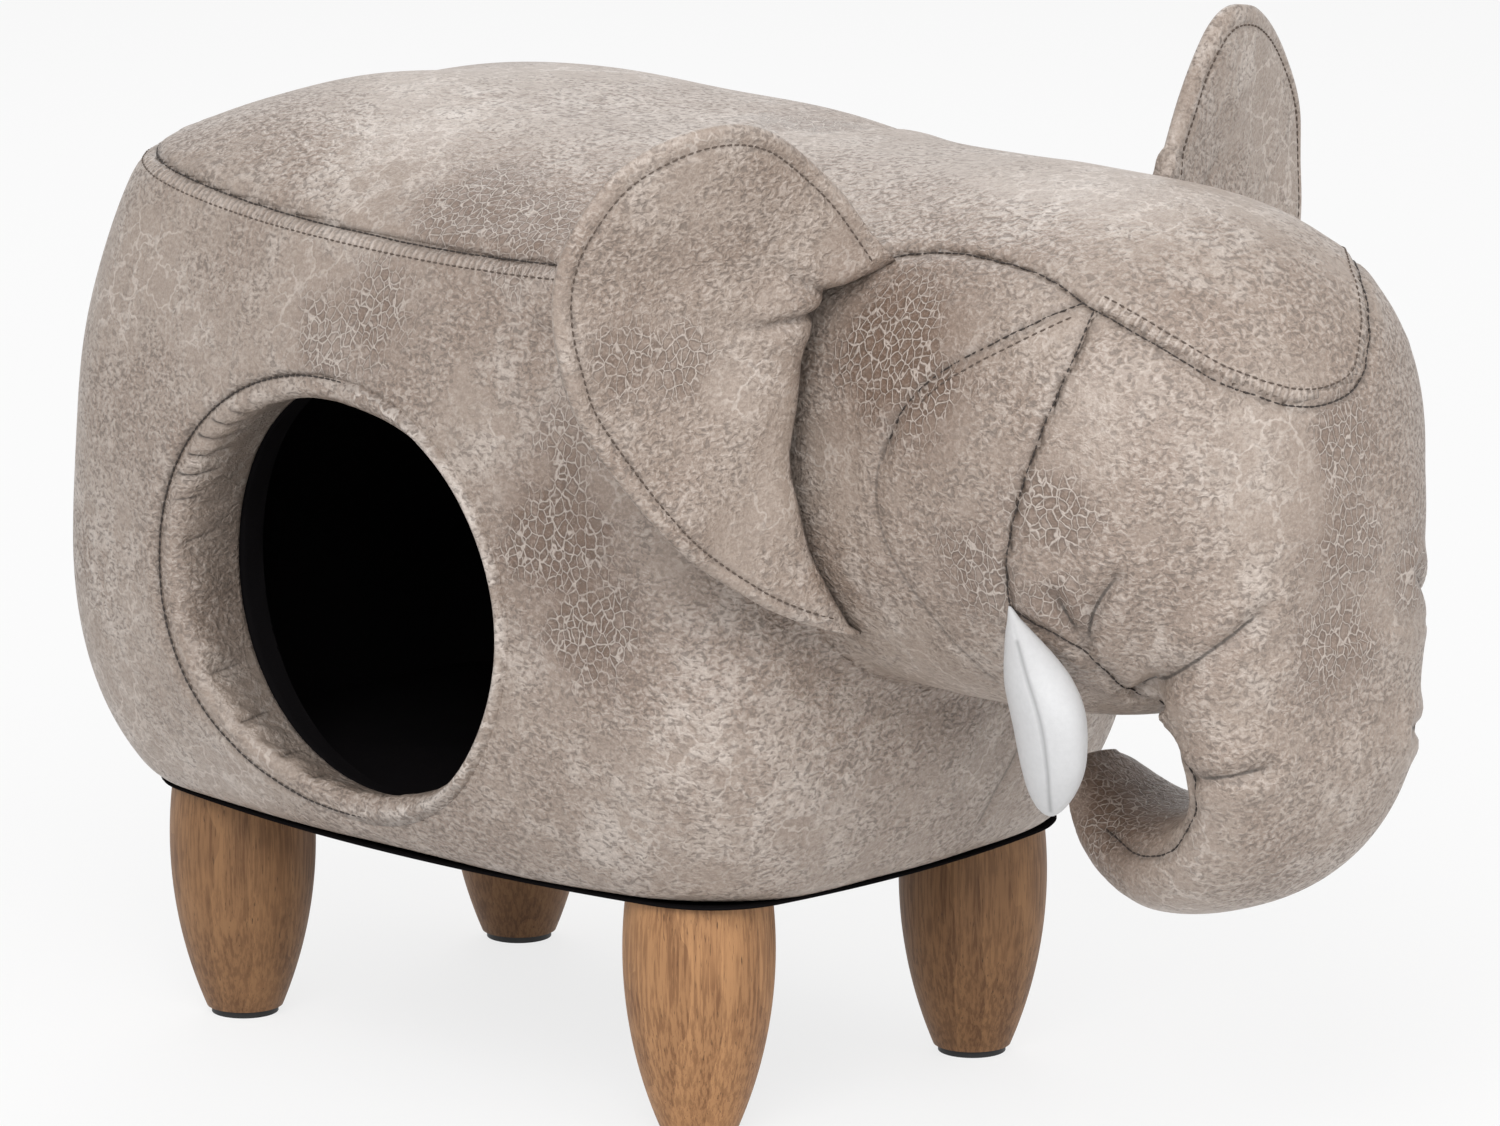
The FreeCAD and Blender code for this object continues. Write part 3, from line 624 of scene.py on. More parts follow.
class Wire:
    """A shader socket that takes part in sums."""

    def __init__(self, board, socket):
        self.board = board
        self.socket = socket

    def _sum(self, kind, *terms):
        return self.board.node("ShaderNodeMath", {"operation": kind}, *terms)

    def __add__(self, other):
        return self._sum("ADD", self, other)

    __radd__ = __add__

    def __mul__(self, other):
        return self._sum("MULTIPLY", self, other)

    def __sub__(self, other):
        return self._sum("SUBTRACT", self, other)

    def __rsub__(self, other):
        return self._sum("SUBTRACT", other, self)

    def most(self, other):
        return self._sum("MAXIMUM", self, other)

    def sine(self):
        return self._sum("SINE", self)

    def size(self):
        return self._sum("ABSOLUTE", self)

    def steps(self, low, high):
        """0 below low, 1 above high, smooth between them; low may be the higher one."""
        return self.board.node("ShaderNodeMapRange", {"interpolation_type": "SMOOTHSTEP"},
                               self, low, high, 0.0, 1.0)


class Board:
    """Node tree of one material, or of the world."""

    def __init__(self, name):
        self.material = bpy.data.materials.new(name) if isinstance(name, str) else name
        self.material.use_nodes = True
        self.tree = self.material.node_tree
        self.shader = self.tree.nodes.get("Principled BSDF")

    def node(self, kind, settings, *inputs, out=0, **named):
        """Add a node: its settings first, then its sockets by place or by name."""
        item = self.tree.nodes.new(kind)
        for key, value in settings.items():
            setattr(item, key, value)
        for key, value in list(enumerate(inputs)) + list(named.items()):
            self.put(item.inputs[key.replace("_", " ") if isinstance(key, str) else key], value)
        return Wire(self, item.outputs[out])

    def put(self, socket, value):
        if isinstance(value, Wire):
            self.tree.links.new(value.socket, socket)
        else:
            socket.default_value = value

    def set(self, **values):
        for key, value in values.items():
            self.put(self.shader.inputs[key.replace("_", " ")], value)

    def attribute(self, name):
        return self.node("ShaderNodeAttribute", {"attribute_name": name}, out="Fac")

    def place(self, turn=(0, 0, 0), stretch=(1, 1, 1)):
        """Object coordinates in millimetres."""
        spot = self.node("ShaderNodeTexCoord", {}, out="Object")
        return self.node("ShaderNodeMapping", {}, spot, (0, 0, 0), turn, times(stretch, 1 / MM))

    def noise(self, place, scale, detail=2.0, rough=0.5, twist=0.0, out=0):
        return self.node("ShaderNodeTexNoise", {}, Vector=place, Scale=scale, Detail=detail, Roughness=rough,
                         Distortion=twist, out=out)

    def mix(self, factor, a, b):
        """One colour into another; 6, 7 and 2 are the colour sockets of the node."""
        a, b = (value if isinstance(value, Wire) else (*value, 1.0) for value in (a, b))
        item = self.tree.nodes.new("ShaderNodeMix")
        item.data_type = "RGBA"
        for socket, value in ((0, factor), (6, a), (7, b)):
            self.put(item.inputs[socket], value)
        return Wire(self, item.outputs[2])

    def shift(self, place, amount, by):
        """Coordinates moved about by a noise colour."""
        return self.node("ShaderNodeVectorMath", {"operation": "MULTIPLY_ADD"}, by, (amount,) * 3, place)

    def stretched(self, place, by):
        return self.node("ShaderNodeVectorMath", {"operation": "MULTIPLY"}, place, by)

    def bump(self, height, strength, distance):
        return self.node("ShaderNodeBump", {}, Strength=strength, Distance=distance, Height=height)


# Patches of crackle in the leather: place around the middle of the drum and reach in millimetres, and stain
CRACKLE = [(253, -101, 339, 36, 1.0), (270, -104, 325, 30, 0.8), (118, -146, 250, 34, 0.9),
           (131, -144, 218, 30, 0.7), (124, -148, 285, 26, 0.3), (392, -5, 302, 26, 0.2),
           (396, -6, 268, 32, 0.35), (395, -7, 232, 30, 0.3), (331, -101, 288, 24, 0.3),
           (296, -104, 258, 24, 0.3), (14, -143, 328, 30, 0.35), (-12, -147, 318, 28, 0.2),
           (38, -114, 368, 34, 0.45), (76, -117, 366, 30, 0.3), (300, -17, 150, 38, 1.0),
           (195, -190, 342, 24, 0.1), (203, -167, 337, 20, 0.0), (330, -93, 252, 18, 0.3),
           (-205, 40, 250, 34, 0.6), (60, 150, 240, 42, 0.7), (140, 146, 190, 30, 0.4),
           (392, 40, 250, 26, 0.2), (255, 101, 300, 30, 0.5), (-120, 60, 385, 36, 0.3),
           (90, 30, 392, 30, 0.2)]
# Rubbed places with light veins: place and reach
RUBBED = [(177, -129, 169, 40), (186, -105, 138, 42), (196, -80, 155, 40), (145, -130, 128, 34),
          (-150, -142, 190, 44), (-150, -135, 135, 40), (-104, -131, 118, 34), (-10, -145, 320, 40),
          (-22, -54, 392, 44), (15, -10, 393, 46), (70, 17, 390, 44), (-50, -95, 382, 40),
          (268, -30, 390, 40), (381, -57, 303, 26), (-60, 148, 200, 50), (100, 140, 150, 44)]


def set_wear(thing, points):
    """How far points of the leather, in millimetres around the drum, lie in the worn places."""
    crackle, stain, rubbed = np.zeros((3, len(points)))
    for x, y, z, reach in RUBBED:
        rubbed = np.maximum(rubbed, 1 - ease(np.linalg.norm(points - (x, y, z), axis=1), 0, 1.3 * reach))
    for x, y, z, reach, dark in CRACKLE:
        near = 1 - ease(np.linalg.norm(points - (x, y, z), axis=1), 0, 1.7 * reach)
        crackle = np.maximum(crackle, near)
        stain = np.maximum(stain, near * dark)
    set_attributes(thing, rubbed=rubbed, crackle=crackle, stain=stain)


def leather(finish):
    """Distressed faux leather: mottled ground, rubbed lights, fine ripples, veins and patches of crackle;
    painted highlights on the crests of the ripples and puckers and along the sleeve's lip, painted shade in
    the ripples' valleys and along seams and creases.
    """
    board = Board("faux_leather")
    place = board.place()
    slow = board.noise(place, 0.014, 1.0, 0.5, out="Color")
    cloud = board.noise(board.place((0.4, 0.9, 0.2)), 0.013, 4.0, 0.6)
    rub = board.noise(place, 0.055, 5.0, 0.68, 0.3)
    wander = board.noise(place, 0.22, 1.0, 0.5, out="Color")
    ripple = board.noise(board.stretched(board.shift(place, 3.5, wander), (0.40, 0.40, 0.62)), 1.0, 1.0, 0.5)
    fine = board.noise(place, 1.0, 2.0, 0.6)
    cells = board.shift(board.place(stretch=(1.0, 1.0, 0.72)), 2.4, wander)
    crack = board.node("ShaderNodeTexVoronoi", {"feature": "DISTANCE_TO_EDGE"}, Vector=cells, Scale=0.27)
    tint = board.node("ShaderNodeTexVoronoi", {}, Vector=cells, Scale=0.27, out="Color")
    veins = board.node("ShaderNodeTexVoronoi", {"feature": "DISTANCE_TO_EDGE"},
                       Vector=board.shift(board.shift(place, 20.0, slow), 9.0, wander), Scale=0.062)

    patch = board.attribute("crackle")
    stain = board.attribute("stain")
    in_patch = (patch + (rub - 0.5) * 1.7 + (cloud - 0.5) * 0.8).steps(0.36, 0.92)
    # Rubbed wear, and on the sleeve's lip a painted highlight
    rubbed = board.attribute("rubbed")
    in_vein = rubbed.most(cloud.steps(0.48, 0.38)) * (1 - in_patch)
    rim = crack.steps(0.085, 0.02)
    crevice = crack.steps(0.25, 0.13) * (1 - rim)
    vein_line = veins.steps(0.06, 0.012)
    worn = slow.steps(0.44, 0.58)
    light = rub.steps(0.46, 0.66) * (worn * 0.75 + 0.25) + rubbed * rub.steps(0.40, 0.60) * 0.7
    strong = ((rub + cloud).steps(0.84, 1.08) * 0.7 + 0.3) * (1 - in_patch * 0.6)
    # Painted highlight on the crests of the ripples and painted shade in their valleys
    crest_highlight = ripple.steps(0.54, 0.64) * strong
    valley_shade = ripple.steps(0.46, 0.38) * strong

    # The sine over the run of the top seam gives one pucker to each stitch
    pucker = board.attribute("pucker") * (board.attribute("seam_run") * (2 * math.pi / STITCH_PITCH)).sine()
    # Painted shade: a thin dark line along creases, faint seams and the ear's root
    crease = board.attribute("crease_side").size().steps(1.0, 0.25) * board.attribute("crease_near")
    layers = (
        (light * 0.5, finish.scuff),
        (in_vein * vein_line * 0.6, times(finish.scuff, 1.1)),
        (stain * 0.85 + in_patch * (tint * 0.45 + 0.15), finish.cell_dark),
        (in_patch * crevice * 0.4, times(finish.cell_dark, 0.5)),
        (in_patch * rim * 0.72, times(finish.scuff, 1.05)),
        (crest_highlight * 0.36, times(finish.scuff, 1.15)),
        (valley_shade * 0.56, times(finish.leather, 0.36)),
        (fine.steps(0.5, 0.72) * 0.2, times(finish.scuff, 1.15)),
        (fine.steps(0.5, 0.30) * 0.2, times(finish.leather, 0.4)),
        # Painted highlight on the crests of the puckers
        (pucker.steps(0.1, 0.9) * 0.35, times(finish.scuff, 1.12)),
        (board.attribute("seam_shade") * 0.55, times(finish.leather, 0.3)),
        (crease * 0.8, times(finish.leather, 0.16)),
    )
    ground = board.mix(cloud.steps(0.42, 0.66) * 0.8, finish.leather, finish.leather_dark)
    for share, layer in layers:
        ground = board.mix(share, ground, layer)

    height = ripple * strong * 1.6 + fine * 0.4 + in_patch * rim * 0.4 + pucker * 0.4
    board.set(Base_Color=ground, Roughness=0.40 + valley_shade * 0.16 - light * 0.04,
              Normal=board.bump(height, 0.75, 0.0009), Specular_IOR_Level=0.6)
    return board.material


def seen_rays(board):
    """1 for rays from the camera and for those that metal or glass send on."""
    path = board.node("ShaderNodeLightPath", {}).socket.node.outputs
    seen = Wire(board, path["Is Camera Ray"])
    for kind in ("Is Glossy Ray", "Is Transmission Ray"):
        seen = seen.most(Wire(board, path[kind]))
    return seen


def plain(name, colour, rough, scale=0.4, depth=0.0004, metal=0.0):
    """A finish with fine mottle and bump, for cloth, plastic, steel and tusk covers."""
    board = Board(name)
    place = board.place()
    fine = board.noise(place, scale, 4.0, 0.6)
    wide = board.noise(place, scale * 0.07, 3.0, 0.5)
    tone = board.mix(fine.steps(0.3, 0.75) * 0.2 + wide * 0.15, colour, times(colour, 0.78))
    seam = board.attribute("seam_shade")
    tone = board.mix(seam * 0.6, tone, times(colour, 0.4))
    board.set(Base_Color=tone, Roughness=rough + fine * 0.15, Metallic=metal,
              Normal=board.bump(fine, 0.35, depth))
    return board.material


def woven(name, colour, pitch):
    """Plain weave cloth."""
    board = Board(name)
    place = board.place()
    parts = board.node("ShaderNodeSeparateXYZ", {}, place).socket.node.outputs
    across, depth, up = (Wire(board, part) for part in parts)
    turn = 2 * math.pi / pitch
    weave = ((across + depth) * turn).sine() * ((up + depth * 0.5) * turn).sine()
    lint = board.noise(place, 0.05, 5.0, 0.6)
    tone = board.mix(weave.steps(-0.8, 0.9) * 0.5 + lint * 0.4, colour, times(colour, 1.9))
    board.set(Base_Color=tone, Roughness=0.9, Normal=board.bump(weave, 0.25, 0.0002), Specular_IOR_Level=0.0)
    return board.material


def leg_wood(name, finish, depth):
    """Oiled wood, growth rings cut by the turning, pores along the grain."""
    board = Board(name)
    # The depth makes the whole wood lighter or darker, for a lit copy and a shaded copy of one finish
    wood, dark = times(finish.wood, depth), times(finish.wood_dark, depth)
    place = board.place(stretch=(1, 1, 0.12))
    sway = board.noise(board.place(stretch=(1, 1, 0.35)), 0.028, 3.0, 0.5, out="Color")
    bands = {"wave_type": "BANDS", "bands_direction": "DIAGONAL", "wave_profile": "SAW"}
    rings = board.node("ShaderNodeTexWave", bands, Vector=board.shift(place, 34.0, sway), Scale=0.028,
                       Distortion=2.2, Detail=3.0, Detail_Scale=1.4)
    fibre = board.noise(board.place(stretch=(1, 1, 0.045)), 0.75, 5.0, 0.65)
    pores = board.noise(board.place(stretch=(1, 1, 0.07)), 1.7, 2.0, 0.5)
    blotch = board.noise(board.place(), 0.03, 3.0, 0.55)
    pore = pores.steps(0.36, 0.27)
    tone = board.mix(rings * 0.4 + fibre.steps(0.42, 0.60) * 0.6, wood, dark)
    tone = board.mix(blotch.steps(0.42, 0.7) * 0.35, tone, times(wood, 1.25))
    tone = board.mix(pore * 0.8, tone, times(dark, 0.4))
    board.set(Base_Color=tone, Roughness=0.46 + fibre * 0.16,
              Normal=board.bump(fibre * 0.4 - pore * 0.5, 0.35, 0.0005), Specular_IOR_Level=0.35)
    return board.material


class Shared:
    """What one operator leaves for the next."""
    field = None
    materials = {}
    seams = []
    stitches = []
    lining_plan = None


def material(name):
    finish = sizes("pouf_finish")
    if name not in Shared.materials:
        makers = {
            "leather": lambda: leather(finish),
            "thread": lambda: plain("thread", finish.thread, 0.6, 2.0, 0.0001),
            "topstitch": lambda: plain("brown_thread", finish.topstitch, 0.6, 2.0, 0.0001),
            "tusk": lambda: plain("white_faux_leather", finish.tusk, 0.42, 0.5, 0.0004),
            "cloth": lambda: woven("black_cloth", finish.cloth, 0.9),
            # The front leg has the lit copy of the wood and the other legs a shaded copy: painted light and
            # painted shade
            "wood": lambda: leg_wood("leg_wood", finish, 1.12),
            "brown_wood": lambda: leg_wood("brown_leg_wood", finish, 0.72),
            "pad": lambda: plain("foot_plastic", (0.012, 0.012, 0.013), 0.5),
            "steel": lambda: plain("steel", (0.5, 0.5, 0.5), 0.3, 0.8, 0.0001, 1.0),
            "board": lambda: plain("board", (0.42, 0.28, 0.16), 0.7, 0.2, 0.0004),
        }
        Shared.materials[name] = makers[name]()
    return Shared.materials[name]


def waves(points, seed, count, shortest, longest):
    """Sum of smooth waves over points, about -1 to 1, the same at every run."""
    draw = np.random.default_rng(seed)
    total = np.zeros(len(points))
    for _ in range(count):
        way = draw.normal(size=3)
        way /= np.linalg.norm(way)
        length = draw.uniform(shortest, longest)
        total += np.sin(points @ way * 2 * math.pi / length + draw.uniform(0, 2 * math.pi))
    return total / math.sqrt(count)


# Seams of the head in millimetres around the middle of the drum, on the right side

FOREHEAD_SEAM = [(168, -112, 352), (190, -100, 357), (212, -89, 363), (236, -78, 369),
                 (258, -74, 371.5), (280, -73.5, 371), (297, -74, 369.5), (311, -75, 367),
                 (324, -76, 362), (330, -75, 359)]
LOBE_RIGHT = [(349, -71, 352), (362, -64, 344), (373, -54, 335), (381, -42, 329), (387, -29, 324)]
LOBE_TIP = [(390, -13, 322)]
LOBE_LEFT = [(389, 3, 323.5), (387, 13, 328), (383, 23, 338), (374, 34, 350), (358, 48, 361)]
CHEEK_SEAM = [(330, -77, 358), (331, -90, 342), (326, -101, 317), (318, -104, 290),
              (312.5, -103, 271), (310, -102, 256), (309, -99, 245)]
CHEEK_DOUBLE = [(324, -77, 361.5), (311, -88, 354), (298, -95.5, 346), (286, -101, 339),
                (272.5, -105, 329), (261, -108, 315), (254, -108, 300), (250, -107.5, 288),
                (250, -107, 275), (253, -105.5, 263), (259, -102.5, 251), (266, -99, 240),
                (274, -93, 227), (281, -86, 216), (285, -75, 206)]
CHIN_SEAM = [(309, -99, 245), (318, -96.5, 239), (327, -91, 236), (335, -79, 226), (337, -67, 214),
             (340, -57, 204), (352, -56, 194), (361, -56.5, 185), (365, -56, 172.5),
             (356, -49, 158), (344, -45.5, 146), (322, -40, 141), (300, -34, 150)]
# Edge between cheek and trunk under the cheek seam, behind the tusk: forwards and upwards
JAW_EDGE = [(262, 184), (280, 194), (292, 204), (300, 224)]
# Join of the side cover that comes out behind the tusk
FRONT_JOIN = [(207, 41, 168), (203, 32, 153), (200, 27.7, 143.4), (195.6, 21.4, 129.8),
              (189.2, 19.1, 116.3)]
FACE_CREASES = [[(335, -84, 231), (340, -88, 243), (346, -89, 253), (353, -88, 262)],
                [(339, -60, 210), (356, -64, 219), (373, -63, 230), (389, -46, 248)],
                [(366.5, -56, 182), (382, -55, 184), (392, -42, 187)],
                [(329, -96, 253), (334, -87, 236)]]


def top_seam_rear(drum):
    """Seat seam from behind the right ear round the rear to behind the left one."""
    angles = np.linspace(-math.radians(38), -math.radians(322), 400)
    ways = np.stack([np.cos(angles), np.sin(angles)])

    def inside(reach):
        x, y = ways * reach
        return drum_distance(x, y, seam_level(x), drum) < 0

    x, y = ways * last_held(inside, np.zeros(len(angles)), np.full(len(angles), FAR_OUT))
    return np.column_stack([x, y, seam_level(x)])


# The mouth lies behind this place, the seat seam runs up to the next one and joins the forehead's seam there
MOUTH_END, SEAT_END = 120, 150
# Points of a cheek's double seam that are sewn, and the first that runs on as a faint crease
DOUBLE_SEWN, DOUBLE_FAINT = 70, 60
# Topstitches: distance from the top seam and from the double seam; the lobe's begins and the rear's ends here
TOP_OFFSET, DOUBLE_OFFSET = 6.5, 5
LOBE_BEGIN, REAR_END = 330, 200
# Kinds of panel, and faces that are left out
SIDE, SEAT, CHEEKS, FACE, OPEN = 0, 1, 2, 3, -1


def mouth_middle(mouth):
    return -mouth.back / MM, mouth.level / MM


def from_mouth(points, mouth, wide=1.0, tall=1.0):
    """Distance from the axis of the mouth, in a round or oval ring."""
    cx, cz = mouth_middle(mouth)
    return np.hypot((points[:, 0] - cx) / wide, (points[:, 2] - cz) / tall)


def draw_in(points, chosen, mouth, pull):
    """Move some points towards the axis of the mouth or away from it."""
    for axis, middle in zip((0, 2), mouth_middle(mouth)):
        points[chosen, axis] = middle + (points[chosen, axis] - middle) * pull


class POUF_OT_covers(bpy.types.Operator):
    """Sew the covers of drum, seat, head and trunk"""
    bl_idname = "pouf.covers"
    bl_label = "Sew covers"

    def execute(self, context):
        drum, head, mouth = sizes("pouf_drum"), sizes("pouf_head"), sizes("pouf_mouth")
        field = SkinField(drum, head)
        Shared.field = field
        points, faces = field.net()
        points = relaxed(field, field.settle(points), faces, 4)

        def on_skin(line, spacing=1.5):
            return field.settle(spline(line, spacing), 6)

        rear = top_seam_rear(drum)
        rear = rear[rear[:, 0] < SEAT_END][::8]
        front = np.vstack([FOREHEAD_SEAM, LOBE_RIGHT, LOBE_TIP, LOBE_LEFT, mirrored(FOREHEAD_SEAM)[::-1]])
        top_seam = field.settle(spline(np.vstack([rear, front[::-1]]), 1.2, closed=True), 6)
        ring_angles = full_turn(400)
        ring = self.ring_points(field, mouth, ring_angles)
        seams = [top_seam, ring]
        creases, doubles = [], []
        for flip in (np.array, mirrored):
            seams += [on_skin(flip(CHEEK_SEAM)), on_skin(flip(CHIN_SEAM))]
            creases += [on_skin(flip(line)) for line in FACE_CREASES]
            doubles.append(on_skin(flip(CHEEK_DOUBLE)))

        # Points near the ring of the mouth are drawn onto it
        cx, cz = mouth_middle(mouth)
        radius = mouth.ring_radius / MM
        from_middle = from_mouth(points, mouth, mouth.ring_wide, mouth.ring_tall)
        from_ring = np.abs(from_middle - radius)
        near = (points[:, 1] < 0) & (from_ring < 0.62 * field.step) & (points[:, 0] < MOUTH_END)
        draw_in(points, near, mouth, radius / from_middle[near])

        normal = field.normals(points)
        faint_lines = [line[DOUBLE_FAINT:] for line in doubles] + [on_skin(FRONT_JOIN)]
        gap, _ = nearest(seams + [line[:DOUBLE_SEWN] for line in doubles], points)
        faint, _ = nearest(faint_lines, points)
        fold, _ = nearest(creases, points)
        # Side and weight of the painted shade along creases and faint seams
        crease_side, crease_near = sided(creases + faint_lines, points, normal)
        crease_near = crease_near * np.where(fold < 5.5, 1.0, 0.5)
        from_top, run = nearest([top_seam], points)
        # Slow waves over the whole skin, short ones beside the seams
        push = 0.9 * waves(points, 3, 14, 60, 150)
        push += groove_along(gap, SEAM_RELIEF)
        push += 0.35 * np.exp(-gap / 9) * waves(points, 5, 9, 9, 17)
        push += groove_along(faint, FAINT_RELIEF)
        push += groove_along(fold, CREASE_RELIEF)
        # On the head side the edge of the flank is turned in, so that its seam does not show
        turn = np.degrees(np.abs(np.arctan2(points[:, 2] - cz, points[:, 0] - cx)))
        turned_in = (1 - ease(turn, 35, 75)) * (points[:, 1] < 0) * (from_ring < 12)
        push = np.where(near & (from_ring < 0.8 * field.step), -1.0, push) * (1 - 0.9 * turned_in)
        points = points + normal * push[:, None]
        shade = bell(gap, 1.7) * (1 - 0.9 * turned_in)
        shade += 0.3 * bell(faint, 2) + 0.6 * bell(fold, 2.5)
        pucker = ease(from_top, 0.5, 2.0) * (1 - ease(from_top, 5.2, 8.5))

        # Panels, each with the solids that it stands for and its fill
        panels = (("side_panel", SIDE, ("side_cover", "side_foam"), 0.85),
                  ("seat_panel", SEAT, ("seat_cover", "seat_foam"), 0.9),
                  ("cheek_panels", CHEEKS, ("head_cover", "head_stuffing"), 0.85),
                  ("face_and_trunk_panel", FACE, ("trunk_cover", "trunk_stuffing"), 0.85))
        kinds = self.panel_kinds(field, mouth, points[faces].mean(1), top_seam)
        for name, kind, nodes, fill in panels:
            chosen = faces[kinds == kind]
            used, index = np.unique(chosen, return_inverse=True)
            piece = new_object(name, to_row(points[used]), index.reshape(chosen.shape))
            # Only the rear of the side and the lobe of the seat panel pucker along the top seam
            forwards = points[used, 0]
            puckered = forwards < REAR_END if kind == SIDE else (forwards > LOBE_BEGIN - 4) & (kind == SEAT)
            set_attributes(piece, seam_shade=np.clip(shade[used], 0, 1), pucker=pucker[used] * puckered,
                           seam_run=run[used], crease_side=crease_side[used], crease_near=crease_near[used])
            set_wear(piece, points[used])
            thicken(piece)
            finish_piece(piece, "pouf", "leather", "faux_leather", *nodes)

        # Sewing: the seams and the topstitches beside them, laid on the cover
        cover = BVHTree.FromPolygons([Vector(point) for point in points], [tuple(face) for face in faces])

        def beside(line, offset):
            across = np.cross(field.normals(line), np.gradient(line, axis=0))
            across /= np.linalg.norm(across, axis=1, keepdims=True)
            return field.settle(line + across * offset, 5)

        def laid(line, lift):
            ways = field.normals(line)
            heights = []
            for spot, way in zip(line, ways):
                hit = cover.ray_cast(Vector(spot + 9 * way), Vector(-way), 18)
                heights.append(0.0 if hit[0] is None else float((np.array(hit[0]) - spot) @ way))
            heights = np.convolve(np.pad(heights, 2, mode="edge"), np.ones(5) / 5, "valid")
            return line + ways * (heights + lift)[:, None]

        # On the head side the thread of the ring sinks in
        ring_turn = np.degrees(np.abs(np.append(ring_angles, 0.0) - math.pi))
        ring_lift = 0.5 - 2.0 * ease(ring_turn, 105, 145)
        top_line, ring_line = (np.vstack([line, line[:1]]) for line in (top_seam, ring))
        others = seams[2:] + [line[:DOUBLE_SEWN - 2] for line in doubles]
        Shared.seams = [laid(top_line, 0.1), laid(ring_line, ring_lift)]
        Shared.seams += [laid(line, 0.1) for line in others]

        lobe = np.roll(top_seam, -int(np.argmin(top_seam[:, 0])), 0)
        lobe = lobe[lobe[:, 0] > LOBE_BEGIN]
        rear_part = np.roll(top_seam, -int(np.argmax(top_seam[:, 0])), 0)
        rear_part = rear_part[rear_part[:, 0] < REAR_END]
        right, left = (line[4:50] for line in doubles)
        tops = ((lobe, -TOP_OFFSET), (rear_part, TOP_OFFSET), (right, DOUBLE_OFFSET), (left, -DOUBLE_OFFSET))
        Shared.stitches = [laid(beside(line, offset), 0.2) for line, offset in tops]
        return {"FINISHED"}

    def panel_kinds(self, field, mouth, centre, top_seam):
        """Panel to which each face belongs by its centre."""
        over = centre[:, 2] > self.top_level(centre, top_seam)
        in_mouth = (centre[:, 1] < 0) & (centre[:, 0] < MOUTH_END) & (
            from_mouth(centre, mouth, mouth.ring_wide, mouth.ring_tall) < mouth.ring_radius / MM)
        well_inside = field.sample(field.drum, centre + (0, 0, 14.0)) < -22
        under_drum = (centre[:, 2] < HEM_LEVEL + 1.5) & well_inside
        on_head = field.sample(field.face, centre) < field.sample(field.drum, centre)
        forward = on_head & (centre[:, 0] > self.cheek_line(centre))
        kinds = np.where(over, SEAT, np.where(forward, FACE, np.where(on_head, CHEEKS, SIDE)))
        kinds[in_mouth | under_drum] = OPEN
        return kinds

    @staticmethod
    def ring_points(field, mouth, angles):
        """Seam ring of the mouth on the flank."""
        cx, cz = mouth_middle(mouth)
        x = cx + mouth.ring_radius / MM * mouth.ring_wide * np.cos(angles)
        z = cz + mouth.ring_radius / MM * mouth.ring_tall * np.sin(angles)

        def outside(y):
            return field.sample(field.drum, np.column_stack([x, y, z])) > 0

        y = last_held(outside, np.full(len(x), -165.0), np.full(len(x), -60.0), 30)
        return np.column_stack([x, y, z])

    @staticmethod
    def top_level(centre, seam):
        """Level of the seam that edges the seat and forehead panel, above or below a point."""
        levels = []
        tip_y = LOBE_TIP[0][1]
        for part in (seam[seam[:, 1] < tip_y], seam[seam[:, 1] >= tip_y]):
            part = part[part[:, 0] > SEAT_END - 10]
            part = part[np.argsort(part[:, 0])]
            levels.append(np.interp(centre[:, 0], part[:, 0], part[:, 2]))
        level = np.where(centre[:, 1] < tip_y, levels[0], levels[1])
        return np.where(centre[:, 0] < SEAT_END, seam_level(centre[:, 0]), level)

    @staticmethod
    def cheek_line(centre):
        """How far forwards the cheeks reach at the level of a point."""
        line = np.vstack([JAW_EDGE, np.array(CHEEK_SEAM, float)[::-1, [0, 2]]])
        return np.interp(centre[:, 2], line[:, 1], line[:, 0])


# Creases of the sleeve: angle around the mouth, from and to which share of its depth, depth in millimetres
MOUTH_CREASES = [(126, 0.16, 0.5, 1.8), (133, 0.12, 0.6, 2.6), (140, 0.10, 0.66, 2.8),
                 (147, 0.12, 0.6, 2.6), (154, 0.10, 0.55, 2.2), (162, 0.14, 0.45, 1.6),
                 (176, 0.3, 0.7, 1.2), (215, 0.35, 0.8, 1.4), (231, 0.3, 0.85, 1.5),
                 (246, 0.35, 0.8, 1.6), (258, 0.3, 0.75, 1.2), (283, 0.3, 0.7, 1.0)]
# How far the creases lean over the depth of the sleeve in degrees, and the depth at which one is full
CREASE_LEAN, CREASE_FULL = 7, 2.6
# Lip of the sleeve at the head side in millimetres, where the edge is drawn tight
TIGHT_LIP = 1.2
# Sink behind the flank on the tail side, thin roll on the head side, swell and gathers, in millimetres
SINK, ROLL, SWELL, GATHERS = 2.2, 1.7, 0.8, 1.3
# Seam allowance under the edge of the flank: outwards and inwards
ALLOWANCE = (2.5, 1.8)


def front_wall(plan, x):
    """Front of the lining's plan at some places along the drum."""
    front = plan[plan[:, 1] < 0]
    front = front[np.argsort(front[:, 0])]
    return np.interp(x, front[:, 0], front[:, 1])


def crease_run(share, first, last, fade):
    """1 along a crease of the sleeve, 0 before and after it."""
    return ease(share, first - 0.08, first + 0.08) * (1 - ease(share, last - fade, last + fade))


